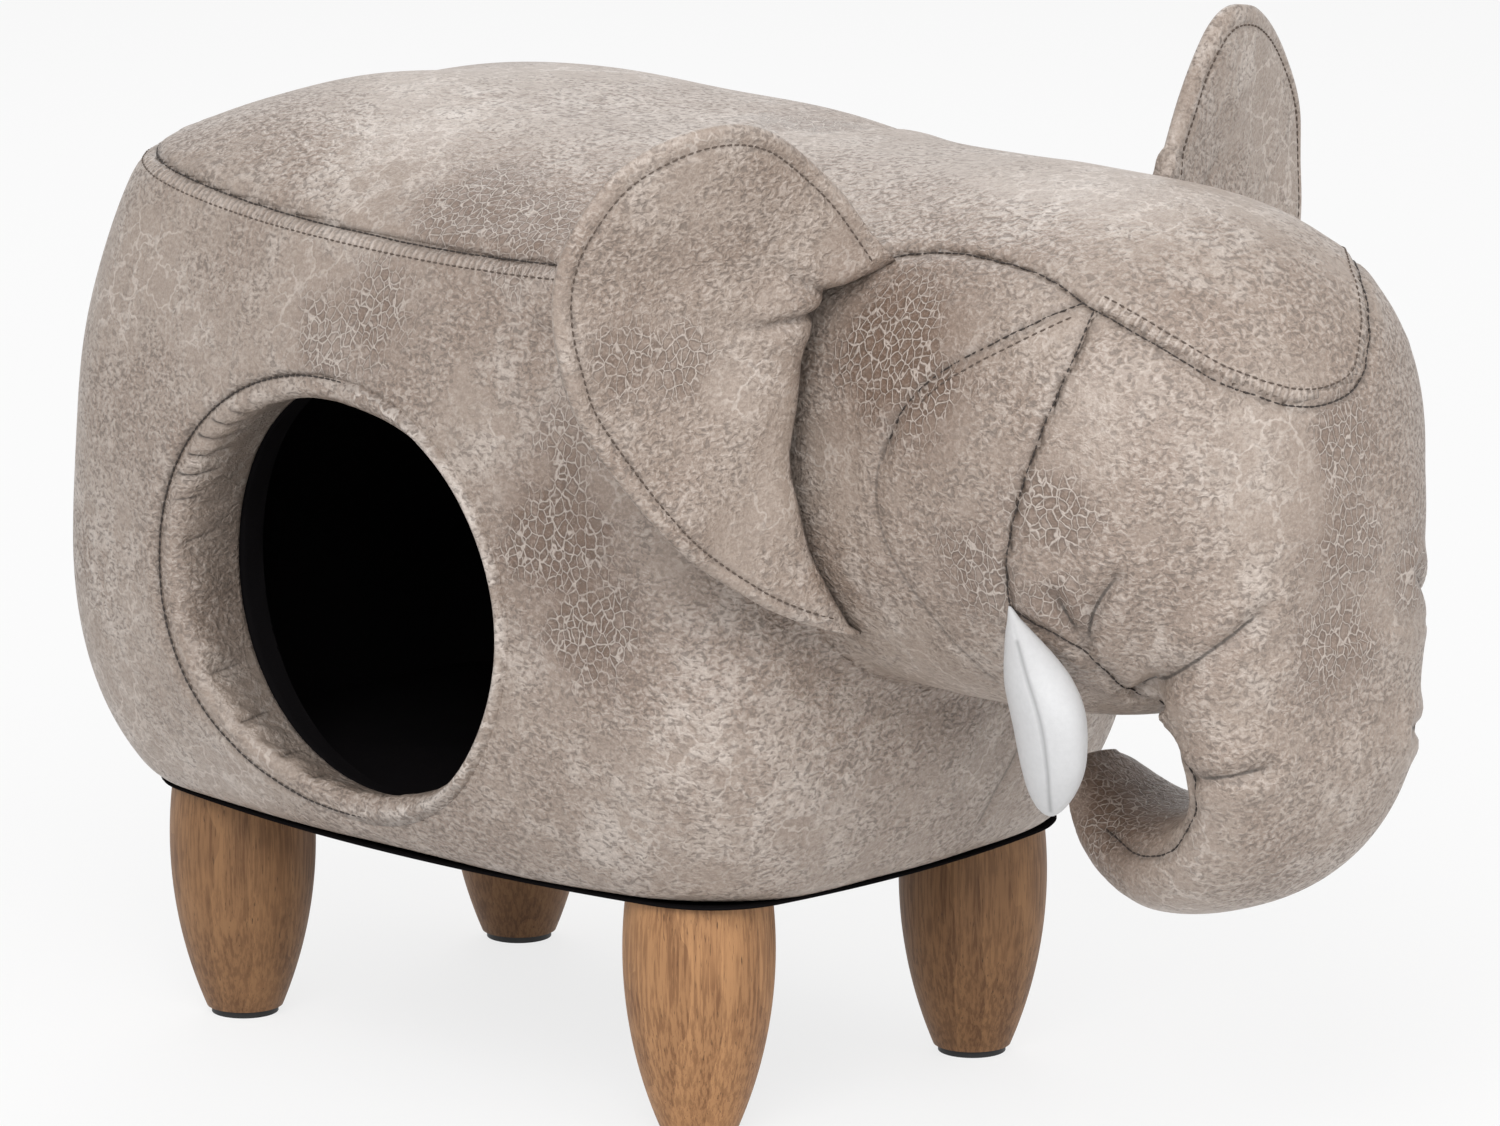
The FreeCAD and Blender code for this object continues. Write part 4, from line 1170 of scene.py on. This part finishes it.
class POUF_OT_mouth(bpy.types.Operator):
    """Sew the padded sleeve of the mouth and the black lining of the cave"""
    bl_idname = "pouf.mouth"
    bl_label = "Sew mouth"

    def execute(self, context):
        self.lining()
        self.sleeve()
        return {"FINISHED"}

    @staticmethod
    def sleeve():
        """Rows of points from the ring on the flank, over the lip and down to the lining."""
        mouth = sizes("pouf_mouth")
        around, rows = 420, 48
        angles = full_turn(around)
        ring = POUF_OT_covers.ring_points(Shared.field, mouth, angles)
        draw = np.random.default_rng(11)
        gathers = np.zeros(around)
        for wave in range(9):
            number = draw.integers(mouth.folds // 2, mouth.folds * 2)
            begin = draw.uniform(0, 2 * math.pi)
            gathers += np.sin(number * angles + begin + 0.7 * np.sin(3 * angles + wave))
        gathers /= 3
        bunch = 0.3 + 0.5 * bell(angles, 0.6, math.radians(215)) + 0.2 * bell(angles, 0.4, math.radians(265))
        cx, cz = mouth_middle(mouth)
        ring_radius, inner_radius = mouth.ring_radius / MM, mouth.inner_radius / MM
        from_front = np.degrees(np.abs((angles + math.pi) % (2 * math.pi) - math.pi))
        loose = ease(from_front, 38, 84)
        lip = TIGHT_LIP + (mouth.lip / MM - TIGHT_LIP) * loose
        points, shades, sides, nears = [], [], [], []
        for row in range(rows):
            share = row / (rows - 1)
            depth = share ** 1.7 * mouth.sleeve_share
            turned = 1 - (1 - min(share / 0.36, 1)) ** 1.9
            narrow = ring_radius - lip * turned
            narrow = narrow + (inner_radius - narrow) * ease(share, 0.4, 1.0)
            oval = 1 - ease(share, 0.2, 1.0)
            wide, tall = 1 + (mouth.ring_wide - 1) * oval, 1 + (mouth.ring_tall - 1) * oval
            end = front_wall(Shared.lining_plan, cx + narrow * wide * np.cos(angles))
            y = ring[:, 1] * (1 - depth) + end * depth
            y = y + SINK * (1 - ease(share, 0.0, 0.2)) * ease(from_front, 50, 110)
            if row > 0:
                y = y - 0.4 * bell(share, 0.10, 0.12)
                y = y - ROLL * (1 - ease(from_front, 45, 90)) * bell(share, 0.05, 0.05)
            swell = SWELL * math.sin(math.pi * share) ** 1.5
            fold = GATHERS * math.sin(math.pi * min(1.0, 0.08 + share)) * ease(share, 0.22, 0.55) * bunch
            fold = fold * np.roll(gathers, int(6 * share)) * (0.25 + 0.75 * loose)
            crease = np.zeros(around)
            offsets, runs = [], []
            for turn, first, last, deep in MOUTH_CREASES:
                gap = (angles - math.radians(turn - CREASE_LEAN * share)) * ring_radius
                along = crease_run(share, first, last, 0.15)
                crease += deep * along * bell(gap, 1.3)
                fold = fold - 0.45 * deep * along * bell(np.abs(gap), 1.8, 3.2)
                offsets.append(gap)
                runs.append(crease_run(share, first, last, 0.1) * min(1, deep / CREASE_FULL))
            radius = narrow - swell - fold + crease
            if row == rows - 1:
                radius = radius + 2.0
            if row == 0:
                radius, y = radius + ALLOWANCE[0], y + ALLOWANCE[1]
            points.append(np.column_stack([cx + radius * wide * np.cos(angles), y,
                                           cz + radius * tall * np.sin(angles)]))
            # Painted shade in the creases and deeper inside the sleeve; the side and weight of a dark line
            # along each crease follow
            shades.append(crease / CREASE_FULL + 0.72 * ease(share, 0.28, 0.75))
            number = np.abs(offsets).argmin(0)
            sides.append(np.array(offsets)[number, np.arange(around)])
            nears.append(np.array(runs)[number] * (1 - ease(np.abs(sides[-1]), 2.5, 4)))
        piece = new_object("mouth_sleeve_gathered", to_row(np.concatenate(points)),
                           flipped(grid_faces(rows, around)))
        shades = np.array(shades)
        shades[:2] = 0.5 * ease(from_front, 35, 75)
        # Painted highlight along the edge of the lip on the head side, kept with the rubbed wear
        lip_highlight = bell(np.linspace(0, 1, rows), 0.06, 0.07)
        set_attributes(piece, seam_shade=np.clip(shades.ravel(), 0, 1),
                       rubbed=np.outer(3.0 * lip_highlight, 1 - ease(from_front, 60, 105)).ravel(),
                       crease_side=np.concatenate(sides), crease_near=np.concatenate(nears))
        thicken(piece)
        finish_piece(piece, "pouf", "leather", "faux_leather", "mouth_sleeve")

    @staticmethod
    def lining():
        """Wall with the hole, collar through the hole, floor and ceiling, just inside the solid."""
        drum, mouth = sizes("pouf_drum"), sizes("pouf_mouth")
        inside, into_sleeve, fullness, cut_share = 0.6, 0.06, 1.62, 0.8
        low, high = (np.array(corner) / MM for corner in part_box("cave_lining"))
        half_x, half_y, _ = ((high - low) / 2 - inside).tolist()
        floor, top = low[2] + inside, high[2] - inside
        around, rows, rings = 360, 60, 26
        turns = full_turn(around)
        plan = Shared.lining_plan = oval_ring(half_x, half_y, drum, around)
        walls = []
        for level in np.linspace(floor, top, rows):
            hang = math.sin(math.pi * (level - floor) / (top - floor))
            fold = 1 - (0.006 + 0.005 * np.sin(13 * turns + 0.8 * math.sin(level / 37))) * hang
            walls.append(np.column_stack([plan * fold[:, None], np.full(around, level)]))
        points = np.concatenate(walls)
        radius = mouth.inner_radius / MM - 0.4
        away = from_mouth(points, mouth)
        near = (points[:, 1] < 0) & (np.abs(away - radius) < 2.2)
        draw_in(points, near, mouth, radius / away[near])
        faces = np.array(flipped(grid_faces(rows, around)))
        middle = points[faces].mean(1)
        faces = [tuple(face) for face in faces[(middle[:, 1] > 0) | (from_mouth(middle, mouth) > radius)]]

        cx, cz = mouth_middle(mouth)
        mouth_ring = POUF_OT_covers.ring_points(Shared.field, mouth, turns)
        wall_y = front_wall(plan, cx + radius * np.cos(turns))
        sleeve_end = mouth.sleeve_share
        collar = []
        for part in np.linspace(sleeve_end - into_sleeve, 1.0, 12):
            y = mouth_ring[:, 1] * (1 - part) + (wall_y + 1.0) * part
            wide = radius + 3.0 * (1 - ease(part, sleeve_end - into_sleeve, sleeve_end + into_sleeve))
            wide = wide + 0.2 * np.sin(17 * turns + 3 * part) * (part < 1)
            collar.append(np.column_stack([cx + wide * np.cos(turns), y, cz + wide * np.sin(turns)]))
        faces += moved_on(flipped(grid_faces(len(collar), around)), len(points))
        points = np.concatenate([points] + collar)

        disc_faces = grid_faces(rings, around) + fan_faces((rings - 1) * around, around, rings * around)
        for level, shape, sag in ((floor, disc_faces, 1.2), (top, flipped(disc_faces), -5.0)):
            discs = []
            for ring in range(rings):
                share = 1 - ring / (rings - 0.5)
                drop = sag * (1 - share ** 2) + 2.4 * np.sin(5 * turns) * share * (1 - share)
                discs.append(np.column_stack([plan * share, level + drop]))
            faces += moved_on(shape, len(points))
            points = np.concatenate([points] + discs + [np.array([[0, 0, level + sag]])])
        piece = new_object("lining_cloth", to_row(points), faces)
        finish_piece(piece, "pouf", "cloth", "black_cloth", "cave_lining")
        width = round(2 * (half_x + half_y) * MM * fullness, 3)


def oval_ring(half_x, half_y, drum, count):
    """Plan of the drum's boards as an even ring of points."""
    angles = full_turn(1440)
    ways = np.stack([np.cos(angles), np.sin(angles)])
    corner = drum.corner_radius / MM - 17

    def inside(reach):
        x, y = ways * reach
        return oval_distance(x, y, half_x, half_y, drum.flank_radius / MM, drum.end_radius / MM, corner) < 0

    ring = (ways * last_held(inside, np.zeros(len(angles)), np.full(len(angles), FAR_OUT))).T
    closed = np.vstack([ring, ring[:1]])
    length = run_along(closed)
    return points_at(np.linspace(0, length[-1], count, endpoint=False), length, closed)


class POUF_OT_underside(bpy.types.Operator):
    """Stretch the black dust cover under the drum"""
    bl_idname = "pouf.underside"
    bl_label = "Stretch dust cover"

    def execute(self, context):
        drum = sizes("pouf_drum")
        half_x = (drum.half_length - drum.hem_inset) / MM - 1.5
        half_y = (drum.half_width - drum.hem_inset) / MM - 1.5
        around, rings, flat = 300, 22, UNDERSIDE + 0.35
        outline = oval_ring(half_x, half_y, drum, around)
        rows = []
        # The edge is turned in, then rings run towards the middle
        for share, level in ((0.985, 1.7), (1.0, 1.5), (1.003, 0.8), (1.0, 0.2), (0.988, -0.1)):
            rows.append(np.column_stack([outline * share, np.full(around, UNDERSIDE + level)]))
        for ring in range(rings):
            share = 0.972 * (1 - ring / (rings - 0.5))
            wave = 0.25 * np.sin(27 * full_turn(around)) * share ** 6
            rows.append(np.column_stack([outline * share, flat + wave]))
        points = np.concatenate(rows + [np.array([[0, 0, flat]])])
        faces = grid_faces(len(rows), around) + fan_faces((len(rows) - 1) * around, around, len(points) - 1)
        piece = new_object("dust_cover_cloth", to_row(points), flipped(faces))
        finish_piece(piece, "pouf", "cloth", "black_cloth", "dust_cover")
        return {"FINISHED"}


# Outline of an ear in its own plane: outwards from the root, upwards along it
EAR_EDGE = [(-23, 83), (-13.3, 93.6), (0, 106.1), (13.8, 116.2), (28.9, 124.6), (40.7, 127.8),
            (51.3, 127.6), (63.2, 125), (73.3, 121.1), (85.7, 114), (95.5, 106), (102.6, 97.2),
            (108.6, 87.2), (112.6, 78.2), (114.8, 69.6), (115.2, 58.6), (112.9, 44.3), (107.2, 28),
            (99.8, 14), (90, 1.8), (80.5, -8), (69, -18.6), (54.2, -30.8), (39.8, -40.4),
            (21.1, -49.5), (2.6, -57.1), (-15.6, -61.6), (-31, -63.5)]
EAR_ROOT = [(-38, -62), (-40, -52), (-36, -40), (-31, -26), (-26, -10), (-24, 8), (-23, 26),
            (-24, 44), (-27, 58), (-33, 70), (-31, 79)]
# Line along which the front of an ear turns back towards the head, upwards
EAR_TURN = [(-32.5, -63), (-26.4, -60.7), (-16, -50), (-6, -35), (2, -20), (8.7, -5), (11, 5),
            (11.3, 17), (11.4, 39), (10, 58), (8.6, 65), (5, 69), (-9, 74.7), (-23.3, 83)]
EAR_PLEATS = [[(4, 60), (10, 58), (20.5, 55.3), (30, 53), (46, 54), (62, 56)],
              [(2, 68), (8, 69.5), (19, 74), (30, 79)]]
EAR_MIDDLE = (44, 32)
# Between these two places of its plane an ear bends from the head to the joint; finish_piece is handed them
# but does not use them
EAR_BEND = [(-4.0, 10.0, 0.0), (20.0, 10.0, 0.0)]


def in_plane(line):
    return [(q, z, 0) for q, z in line]


class POUF_OT_ears(bpy.types.Operator):
    """Sew the two padded ears"""
    bl_idname = "pouf.ears"
    bl_label = "Sew ears"

    def execute(self, context):
        ear = sizes("pouf_ear")
        # Sweep, lean, roll, height over the plan's, cup, and how far the cup slides outwards and upwards
        fits = (("right", 1, ear.sweep, ear.lean, 0.0, 1.0, ear.cup, (0.54, 0.17)),
                ("left", -1, math.radians(17), math.radians(11), math.radians(-4.2), 1.10, ear.cup / 3,
                 (-1.9, 0.89)))
        for side, mirror, sweep, lean, roll, tall, cup, slide in fits:
            joint = [item for item in frame["joints"] if item["name"] == "ear_%s_fold" % side][0]
            base = np.array(joint["pos_m"]) / MM * (1, mirror, 1)
            turn = np.array(Matrix.Rotation(-sweep, 3, "Z") @ Matrix.Rotation(-lean, 3, "X"))
            self.sew(side, mirror, base, turn, roll, tall, cup / MM, slide)
        return {"FINISHED"}

    def sew(self, side, mirror, base, turn, roll, tall, cup, slide):
        ear = sizes("pouf_ear")

        def placed(spots):
            """From the ear's own plane (outwards, upwards, forwards) into the frame of the part."""
            q = spots[:, 0] * math.cos(roll) - spots[:, 1] * math.sin(roll)
            z = (spots[:, 0] * math.sin(roll) + spots[:, 1] * math.cos(roll)) * tall
            local = np.column_stack([spots[:, 2], -q, z])
            return (local @ turn.T + base) * (1, mirror, 1) * MM

        loop = spline(in_plane(EAR_EDGE + EAR_ROOT), 2.2, closed=True)[:-1]
        around, rings = len(loop), 40
        from_root, _ = nearest([spline(in_plane(EAR_ROOT), 2.0)], loop)
        at_root = 1 - ease(from_root, 4, 22)
        middle = np.array([*EAR_MIDDLE, 0])
        shares = 1 - (np.arange(rings) / (rings - 0.6)) ** 1.35
        rows = [middle + (loop - middle) * share for share in shares]
        flat = np.concatenate(rows + [middle[None]])
        edge = np.concatenate([np.linalg.norm((loop - row), axis=1) for row in rows] + [np.array([60.0])])
        edge = edge + 30 * np.append(np.tile(at_root, rings), 0.0)
        half, hem = ear.thickness / MM / 2, ear.hem / MM
        thick = half * (1 - np.exp(-(edge + 0.35) / 2.6)) ** 0.7
        groove = 0.9 * bell(edge, 1.5, hem)
        reach = np.clip(flat[:, 0] / 110, 0, 1)
        away = np.linalg.norm(flat - middle, axis=1) / 80
        bowl = cup * (np.clip(away, 0, 1.2) ** 2 * ease(flat[:, 0], 0, 60) + 0.35 * reach ** 2)
        bowl += 0.5 * cup * ease(flat[:, 1], 55, 120)
        bowl += 0.12 * cup * np.sin(flat[:, 0] / 19 + 1) * np.sin(flat[:, 1] / 24) * ease(flat[:, 0], 5, 40)
        dent = np.zeros(len(flat))
        shade = 0.4 * bell(edge, 1.3, hem)
        for pleat in EAR_PLEATS:
            line = spline(in_plane(pleat), 1.0)
            gap, run = nearest([line], flat)
            fade = np.clip(1 - run / len(line), 0, 1) ** 0.8
            dent += fade * groove_along(gap, PLEAT_RELIEF)
            shade = np.maximum(shade, 1.4 * fade ** 1.4 * bell(gap, 1.5))
        dent += 0.8 * waves(flat * (1, 1, 0), 21, 8, 22, 60)

        # The root turns back to the head behind the line that is seen
        turn_line = np.array(EAR_TURN)
        bend, most = 8.0, math.radians(70)
        first = np.interp(flat[:, 1], turn_line[:, 1], turn_line[:, 0]) + 0.6 * bend
        past = np.clip(first - flat[:, 0], 0, None)
        angle = np.minimum(past / bend, most)
        beyond = np.clip(past - bend * most, 0, None)
        q = flat[:, 0] + past - bend * np.sin(angle) - beyond * math.cos(most) + slide[0] * bowl
        z = flat[:, 1] + slide[1] * bowl
        n = bowl - bend * (1 - np.cos(angle)) - beyond * math.sin(most)
        # Past the turn the front is painted dark: painted shade in the crevice between ear and head
        root = ease(past, 0.8 * bend, 1.1 * bend)
        front, back = (np.column_stack([q - out * np.sin(angle), z, n + out * np.cos(angle)])
                       for out in (thick - groove + dent, groove - thick))
        points = placed(np.concatenate([front, back]))
        hub = rings * around
        face_side = grid_faces(rings, around) + fan_faces((rings - 1) * around, around, hub)
        faces = face_side + moved_on(flipped(face_side), hub + 1)
        for index in range(around):
            nxt = (index + 1) % around
            faces.append((nxt, index, index + hub + 1, nxt + hub + 1))
        body = "ear_%s" % side
        piece = new_object(body, points, flipped(faces) if mirror > 0 else faces)
        set_attributes(piece, seam_shade=np.concatenate([np.maximum(shade, 1.7 * root), shade * 0.8]),
                       crease_near=np.concatenate([root, 0 * root]))
        set_wear(piece, points / MM - (DRUM_SHIFT, 0, 0))
        start, end = placed(np.array(EAR_BEND))
        finish_piece(piece, ("pouf", body, start, end), "leather", "faux_leather",
                     body + "_front_panel", body + "_back_panel", body + "_batting")

        # Topstitch on both faces
        share = 1 - hem / np.linalg.norm(loop - middle, axis=1)
        seen = from_root > 13
        spots = (middle + (loop - middle) * share[:, None])[seen]
        breaks = np.where(np.diff(np.arange(around)[seen]) > 1)[0]
        if len(breaks):
            spots = np.roll(spots, -breaks[0] - 1, 0)
        lines = [placed(self.at(flat, surface, spots) + (0, 0, lift))
                 for surface, lift in ((front, 0.2), (back, -0.2))]
        stitch = sizes("pouf_stitch")
        stitches = sew_lines(body + "_stitches", lines, stitch.length, "topstitch")
        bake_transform(stitches)

    @staticmethod
    def at(flat, surface, spots):
        """Points of an ear's face at places in its flat plan."""
        tree = search_tree(flat)
        found = []
        for spot in spots:
            near = tree.find_n(spot, 4)
            weights = np.array([1 / (item[2] + 0.05) for item in near])
            found.append(weights @ surface[[item[1] for item in near]] / weights.sum())
        found = np.array(found)
        padded = np.pad(found, ((2, 2), (0, 0)), mode="edge")
        return sum(padded[shift:shift + len(found)] for shift in range(5)) / 5


def stitch_tree():
    """Geometry nodes that lay stitches along curves."""
    name = "stitches"
    if name in bpy.data.node_groups:
        return bpy.data.node_groups[name]
    tree = bpy.data.node_groups.new(name, "GeometryNodeTree")
    face = tree.interface
    face.new_socket("Lines", in_out="INPUT", socket_type="NodeSocketGeometry")
    for label in ("Pitch", "Length", "Thread"):
        face.new_socket(label, in_out="INPUT", socket_type="NodeSocketFloat")
    face.new_socket("Finish", in_out="INPUT", socket_type="NodeSocketMaterial")
    face.new_socket("Stitches", in_out="OUTPUT", socket_type="NodeSocketGeometry")
    add = tree.nodes.new
    entry, leave = add("NodeGroupInput"), add("NodeGroupOutput")
    even = add("GeometryNodeResampleCurve")
    even.mode = "LENGTH"
    bead = add("GeometryNodeMeshUVSphere")
    for label, value in (("Segments", 6), ("Rings", 4), ("Radius", 0.5)):
        bead.inputs[label].default_value = value
    size = add("ShaderNodeCombineXYZ")
    shape = add("GeometryNodeTransform")
    tangent = add("GeometryNodeInputTangent")
    aim = add("FunctionNodeAlignRotationToVector")
    aim.axis = "X"
    lay = add("GeometryNodeInstanceOnPoints")
    real = add("GeometryNodeRealizeInstances")
    smooth = add("GeometryNodeSetShadeSmooth")
    paint = add("GeometryNodeSetMaterial")
    links = (
        (entry, "Lines", even, "Curve"), (entry, "Pitch", even, "Length"), (entry, "Length", size, 0),
        (entry, "Thread", size, 1), (entry, "Thread", size, 2), (bead, "Mesh", shape, "Geometry"),
        (size, 0, shape, "Scale"), (tangent, 0, aim, "Vector"), (even, 0, lay, "Points"),
        (shape, 0, lay, "Instance"), (aim, 0, lay, "Rotation"), (lay, 0, real, 0), (real, 0, smooth, 0),
        (smooth, 0, paint, "Geometry"), (entry, "Finish", paint, "Material"), (paint, 0, leave, 0),
    )
    for giver, output, taker, socket in links:
        tree.links.new(giver.outputs[output], taker.inputs[socket])
    return tree


def sew_lines(name, lines, length, finish):
    """Stitches along lines in the frame of the part, as one plain mesh."""
    curve = bpy.data.curves.new(name + "_lines", "CURVE")
    curve.dimensions = "3D"
    for line in lines:
        run = curve.splines.new("POLY")
        run.points.add(len(line) - 1)
        run.points.foreach_set("co", np.column_stack([line, np.ones(len(line))]).ravel())
    guide = bpy.data.objects.new(name + "_lines", curve)
    bpy.context.scene.collection.objects.link(guide)
    tree = stitch_tree()
    sewing = guide.modifiers.new("sewing", "NODES")
    sewing.node_group = tree
    stitch = sizes("pouf_stitch")
    values = {"Pitch": stitch.pitch, "Length": length, "Thread": stitch.thread, "Finish": material(finish)}
    for item in tree.interface.items_tree:
        if item.in_out == "INPUT" and item.name in values:
            sewing[item.identifier] = values[item.name]
    bpy.context.view_layer.update()
    ready = guide.evaluated_get(bpy.context.evaluated_depsgraph_get())
    mesh = bpy.data.meshes.new_from_object(ready)
    mesh.name = name
    bpy.data.objects.remove(guide)
    if not len(mesh.polygons):
        raise RuntimeError("%s has no stitches" % name)
    thing = bpy.data.objects.new(name, mesh)
    bpy.context.scene.collection.objects.link(thing)
    return thing


class POUF_OT_stitches(bpy.types.Operator):
    """Sew the seams and topstitches of the covers"""
    bl_idname = "pouf.stitches"
    bl_label = "Sew stitches"

    def execute(self, context):
        stitch = sizes("pouf_stitch")
        rows = (("cover_seams", Shared.seams, stitch.pitch, "thread"),
                ("cover_topstitches", Shared.stitches, stitch.length, "topstitch"))
        for name, lines, length, finish in rows:
            thing = sew_lines(name, [to_row(line) for line in lines], length, finish)
            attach(thing, "pouf")
        return {"FINISHED"}


# Middle line of a tusk on the right side, and its half width along it
TUSK_LINE = [(308.3, -98, 246), (312.5, -98.6, 238), (319, -99, 227), (329, -99, 207),
             (332, -98.5, 189), (331.8, -98, 177), (331, -98, 168)]
TUSK_SWELL = [(0, 0.03), (0.024, 0.09), (0.065, 0.18), (0.116, 0.33), (0.193, 0.53), (0.275, 0.73),
              (0.377, 0.91), (0.527, 1.0), (0.693, 0.95), (0.83, 0.80), (0.93, 0.53), (0.985, 0.24),
              (1, 0.03)]
TUSK_SEAM = math.radians(70)
# Down to here a tusk bends with the cheek that it is sewn into; finish_piece is handed this place but does
# not use it
TUSK_ROOT = (316, -99, 231)


class POUF_OT_tusks(bpy.types.Operator):
    """Stuff the two white tusks"""
    bl_idname = "pouf.tusks"
    bl_label = "Stuff tusks"

    def execute(self, context):
        tusk = sizes("pouf_tusk")
        line = spline(TUSK_LINE, 0.5)
        shares = np.r_[0, 0.012, 0.03, np.linspace(0.05, 0.95, 46), 0.97, 0.985, 0.995, 1.0]
        centres = points_at(shares, np.linspace(0, 1, len(line)), line)
        swells = spline(in_plane(TUSK_SWELL), 0.01)
        around = 120
        angles = full_turn(around)
        across, out = np.array([0.956, 0, 0.292]), np.array([0, -1.0, 0])
        points, shade = [], []
        for share, centre in zip(shares, centres):
            swell = np.interp(share, swells[:, 0], swells[:, 1])
            wide, deep = tusk.width / MM / 2 * swell, tusk.depth / MM / 2 * swell
            gap = np.abs((angles - TUSK_SEAM + math.pi / 2) % math.pi - math.pi / 2) * max(wide, 2)
            lens = 1.06 - 0.15 * np.abs(np.sin(angles - TUSK_SEAM)) ** 1.4 - 0.05 * bell(gap, 0.8)
            lens = lens + 0.012 * np.sin(angles * 3 + share * 9) * math.sin(math.pi * share)
            points.append(centre + np.outer(np.cos(angles) * wide * lens, across)
                          + np.outer(np.sin(angles) * deep * lens, out))
            shade.append(bell(gap, 0.9) * (0.15 < share < 0.98))
        points = np.concatenate(points)
        faces = grid_faces(len(shares), around)
        faces.append(tuple(range(around))[::-1])
        faces.append(tuple(range(len(points) - around, len(points))))
        for side, mirror in (("right", 1), ("left", -1)):
            body = "tusk_%s" % side
            piece = new_object(body, to_row(points * (1, mirror, 1)), flipped(faces) if mirror > 0 else faces)
            set_attributes(piece, seam_shade=np.concatenate(shade))
            start, end = to_row(np.array([TUSK_LINE[0], TUSK_ROOT]) * (1, mirror, 1))
            finish_piece(piece, ("pouf", body, start, end), "tusk", "white_cloth",
                         body + "_cover", body + "_stuffing")
        return {"FINISHED"}


def aimed(data, place, aim):
    """A lamp or camera at a place in the scene, turned to a point."""
    thing = bpy.data.objects.new(data.name, data)
    thing.location = place
    thing.rotation_euler = (Vector(aim) - Vector(place)).to_track_quat("-Z", "Y").to_euler()
    bpy.context.scene.collection.objects.link(thing)
    return thing


class POUF_OT_stage(bpy.types.Operator):
    """Set up floor, light and camera"""
    bl_idname = "pouf.stage"
    bl_label = "Set the stage"

    def execute(self, context):
        stage = sizes("pouf_stage")
        scene = context.scene
        floor = new_object("floor", [(-6, -6, 0), (6, -6, 0), (6, 6, 0), (-6, 6, 0)], [(0, 1, 2, 3)], False)
        board = Board("pale_floor")
        speck = board.noise(board.place(), 0.002, 2.0, 0.5)
        tone = board.mix(speck * 0.1, (0.86, 0.86, 0.86), (0.83, 0.83, 0.83))
        board.set(Base_Color=tone, Roughness=0.85)
        glow = board.node("ShaderNodeEmission", {}, (1, 1, 1, 1), 1.0)
        shaded = Wire(board, board.shader.outputs[0])
        blend = board.node("ShaderNodeMixShader", {}, seen_rays(board) * stage.backdrop, shaded, glow)
        board.put(board.tree.nodes["Material Output"].inputs[0], blend)
        floor.data.materials.append(board.material)

        world = bpy.data.worlds.new("studio")
        world.use_nodes = True
        scene.world = world
        sky = Board(world)
        light = sky.tree.nodes["Background"].inputs
        sky.put(light[0], (1, 1, 1, 1))
        sky.put(light[1], seen_rays(sky) * (1 - stage.sky) + stage.sky)

        # Place, aim, width in metres and power in watts
        lamps = (("key", (1.3, -2.0, 2.2), (0, 0, 0.2), 1.8, 56),
                 ("fill", (2.6, -0.2, 1.5), (0.1, 0, 0.2), 1.6, 20),
                 ("rim", (-1.8, 1.6, 2.4), (0, 0, 0.25), 1.6, 20))
        for name, spot, aim, width, power in lamps:
            lamp = bpy.data.lights.new(name, "AREA")
            lamp.size = width
            lamp.energy = power
            aimed(lamp, spot, aim)

        lens = bpy.data.cameras.new("camera")
        lens.lens = stage.lens
        lens.sensor_width = 36
        lens.sensor_fit = "HORIZONTAL"
        lens.clip_end = 50
        scene.camera = aimed(lens, stage.camera, stage.aim)
        scene.view_settings.view_transform = "Standard"
        return {"FINISHED"}


class POUF_OT_finishes(bpy.types.Operator):
    """Give the wooden, steel and plastic pieces their finish"""
    bl_idname = "pouf.finishes"
    bl_label = "Finish hard pieces"

    def execute(self, context):
        # The first start of a name that fits counts
        # Painted light: the front leg gets the lit copy of the wood, the other legs the shaded copy
        chosen = (("leg_front_right", "wood"), ("leg_", "brown_wood"), ("foot_pad_", "pad"),
                  ("hanger_bolt_", "steel"), ("tee_nuts", "steel"), ("base_screws", "steel"),
                  ("seat_screws", "steel"), ("hem_staples", "steel"), ("base_board", "board"),
                  ("seat_board", "board"), ("side_wall", "board"))
        for name, thing in frame["nodes"].items():
            for start, finish in chosen:
                if name.startswith(start):
                    thing.data.materials.clear()
                    thing.data.materials.append(material(finish))
                    break
        return {"FINISHED"}


class POUF_PT_panel(bpy.types.Panel):
    bl_idname = "POUF_PT_panel"
    bl_label = "Elephant pouf"
    bl_space_type = "VIEW_3D"
    bl_region_type = "UI"
    bl_category = "Pouf"

    def draw(self, context):
        for operator in OPERATORS:
            self.layout.operator(operator.bl_idname)
        for group, kind in GROUPS.items():
            box = self.layout.box()
            for name in kind.__annotations__:
                box.prop(getattr(context.scene, group), name)


OPERATORS = (POUF_OT_covers, POUF_OT_mouth, POUF_OT_underside, POUF_OT_ears, POUF_OT_tusks, POUF_OT_stitches,
             POUF_OT_finishes, POUF_OT_stage)


def register():
    for group, kind in GROUPS.items():
        bpy.utils.register_class(kind)
        setattr(bpy.types.Scene, group, PointerProperty(type=kind))
    for operator in OPERATORS:
        bpy.utils.register_class(operator)
    bpy.utils.register_class(POUF_PT_panel)


def unregister():
    bpy.utils.unregister_class(POUF_PT_panel)
    for operator in reversed(OPERATORS):
        bpy.utils.unregister_class(operator)
    for group, kind in GROUPS.items():
        delattr(bpy.types.Scene, group)
        bpy.utils.unregister_class(kind)


def main():
    register()
    bpy.ops.pouf.covers()
    bpy.ops.pouf.mouth()
    bpy.ops.pouf.underside()
    bpy.ops.pouf.ears()
    bpy.ops.pouf.tusks()
    bpy.ops.pouf.stitches()
    bpy.ops.pouf.finishes()
    bpy.ops.pouf.stage()
    bpy.context.view_layer.update()


if __name__ == "__main__":
    main()
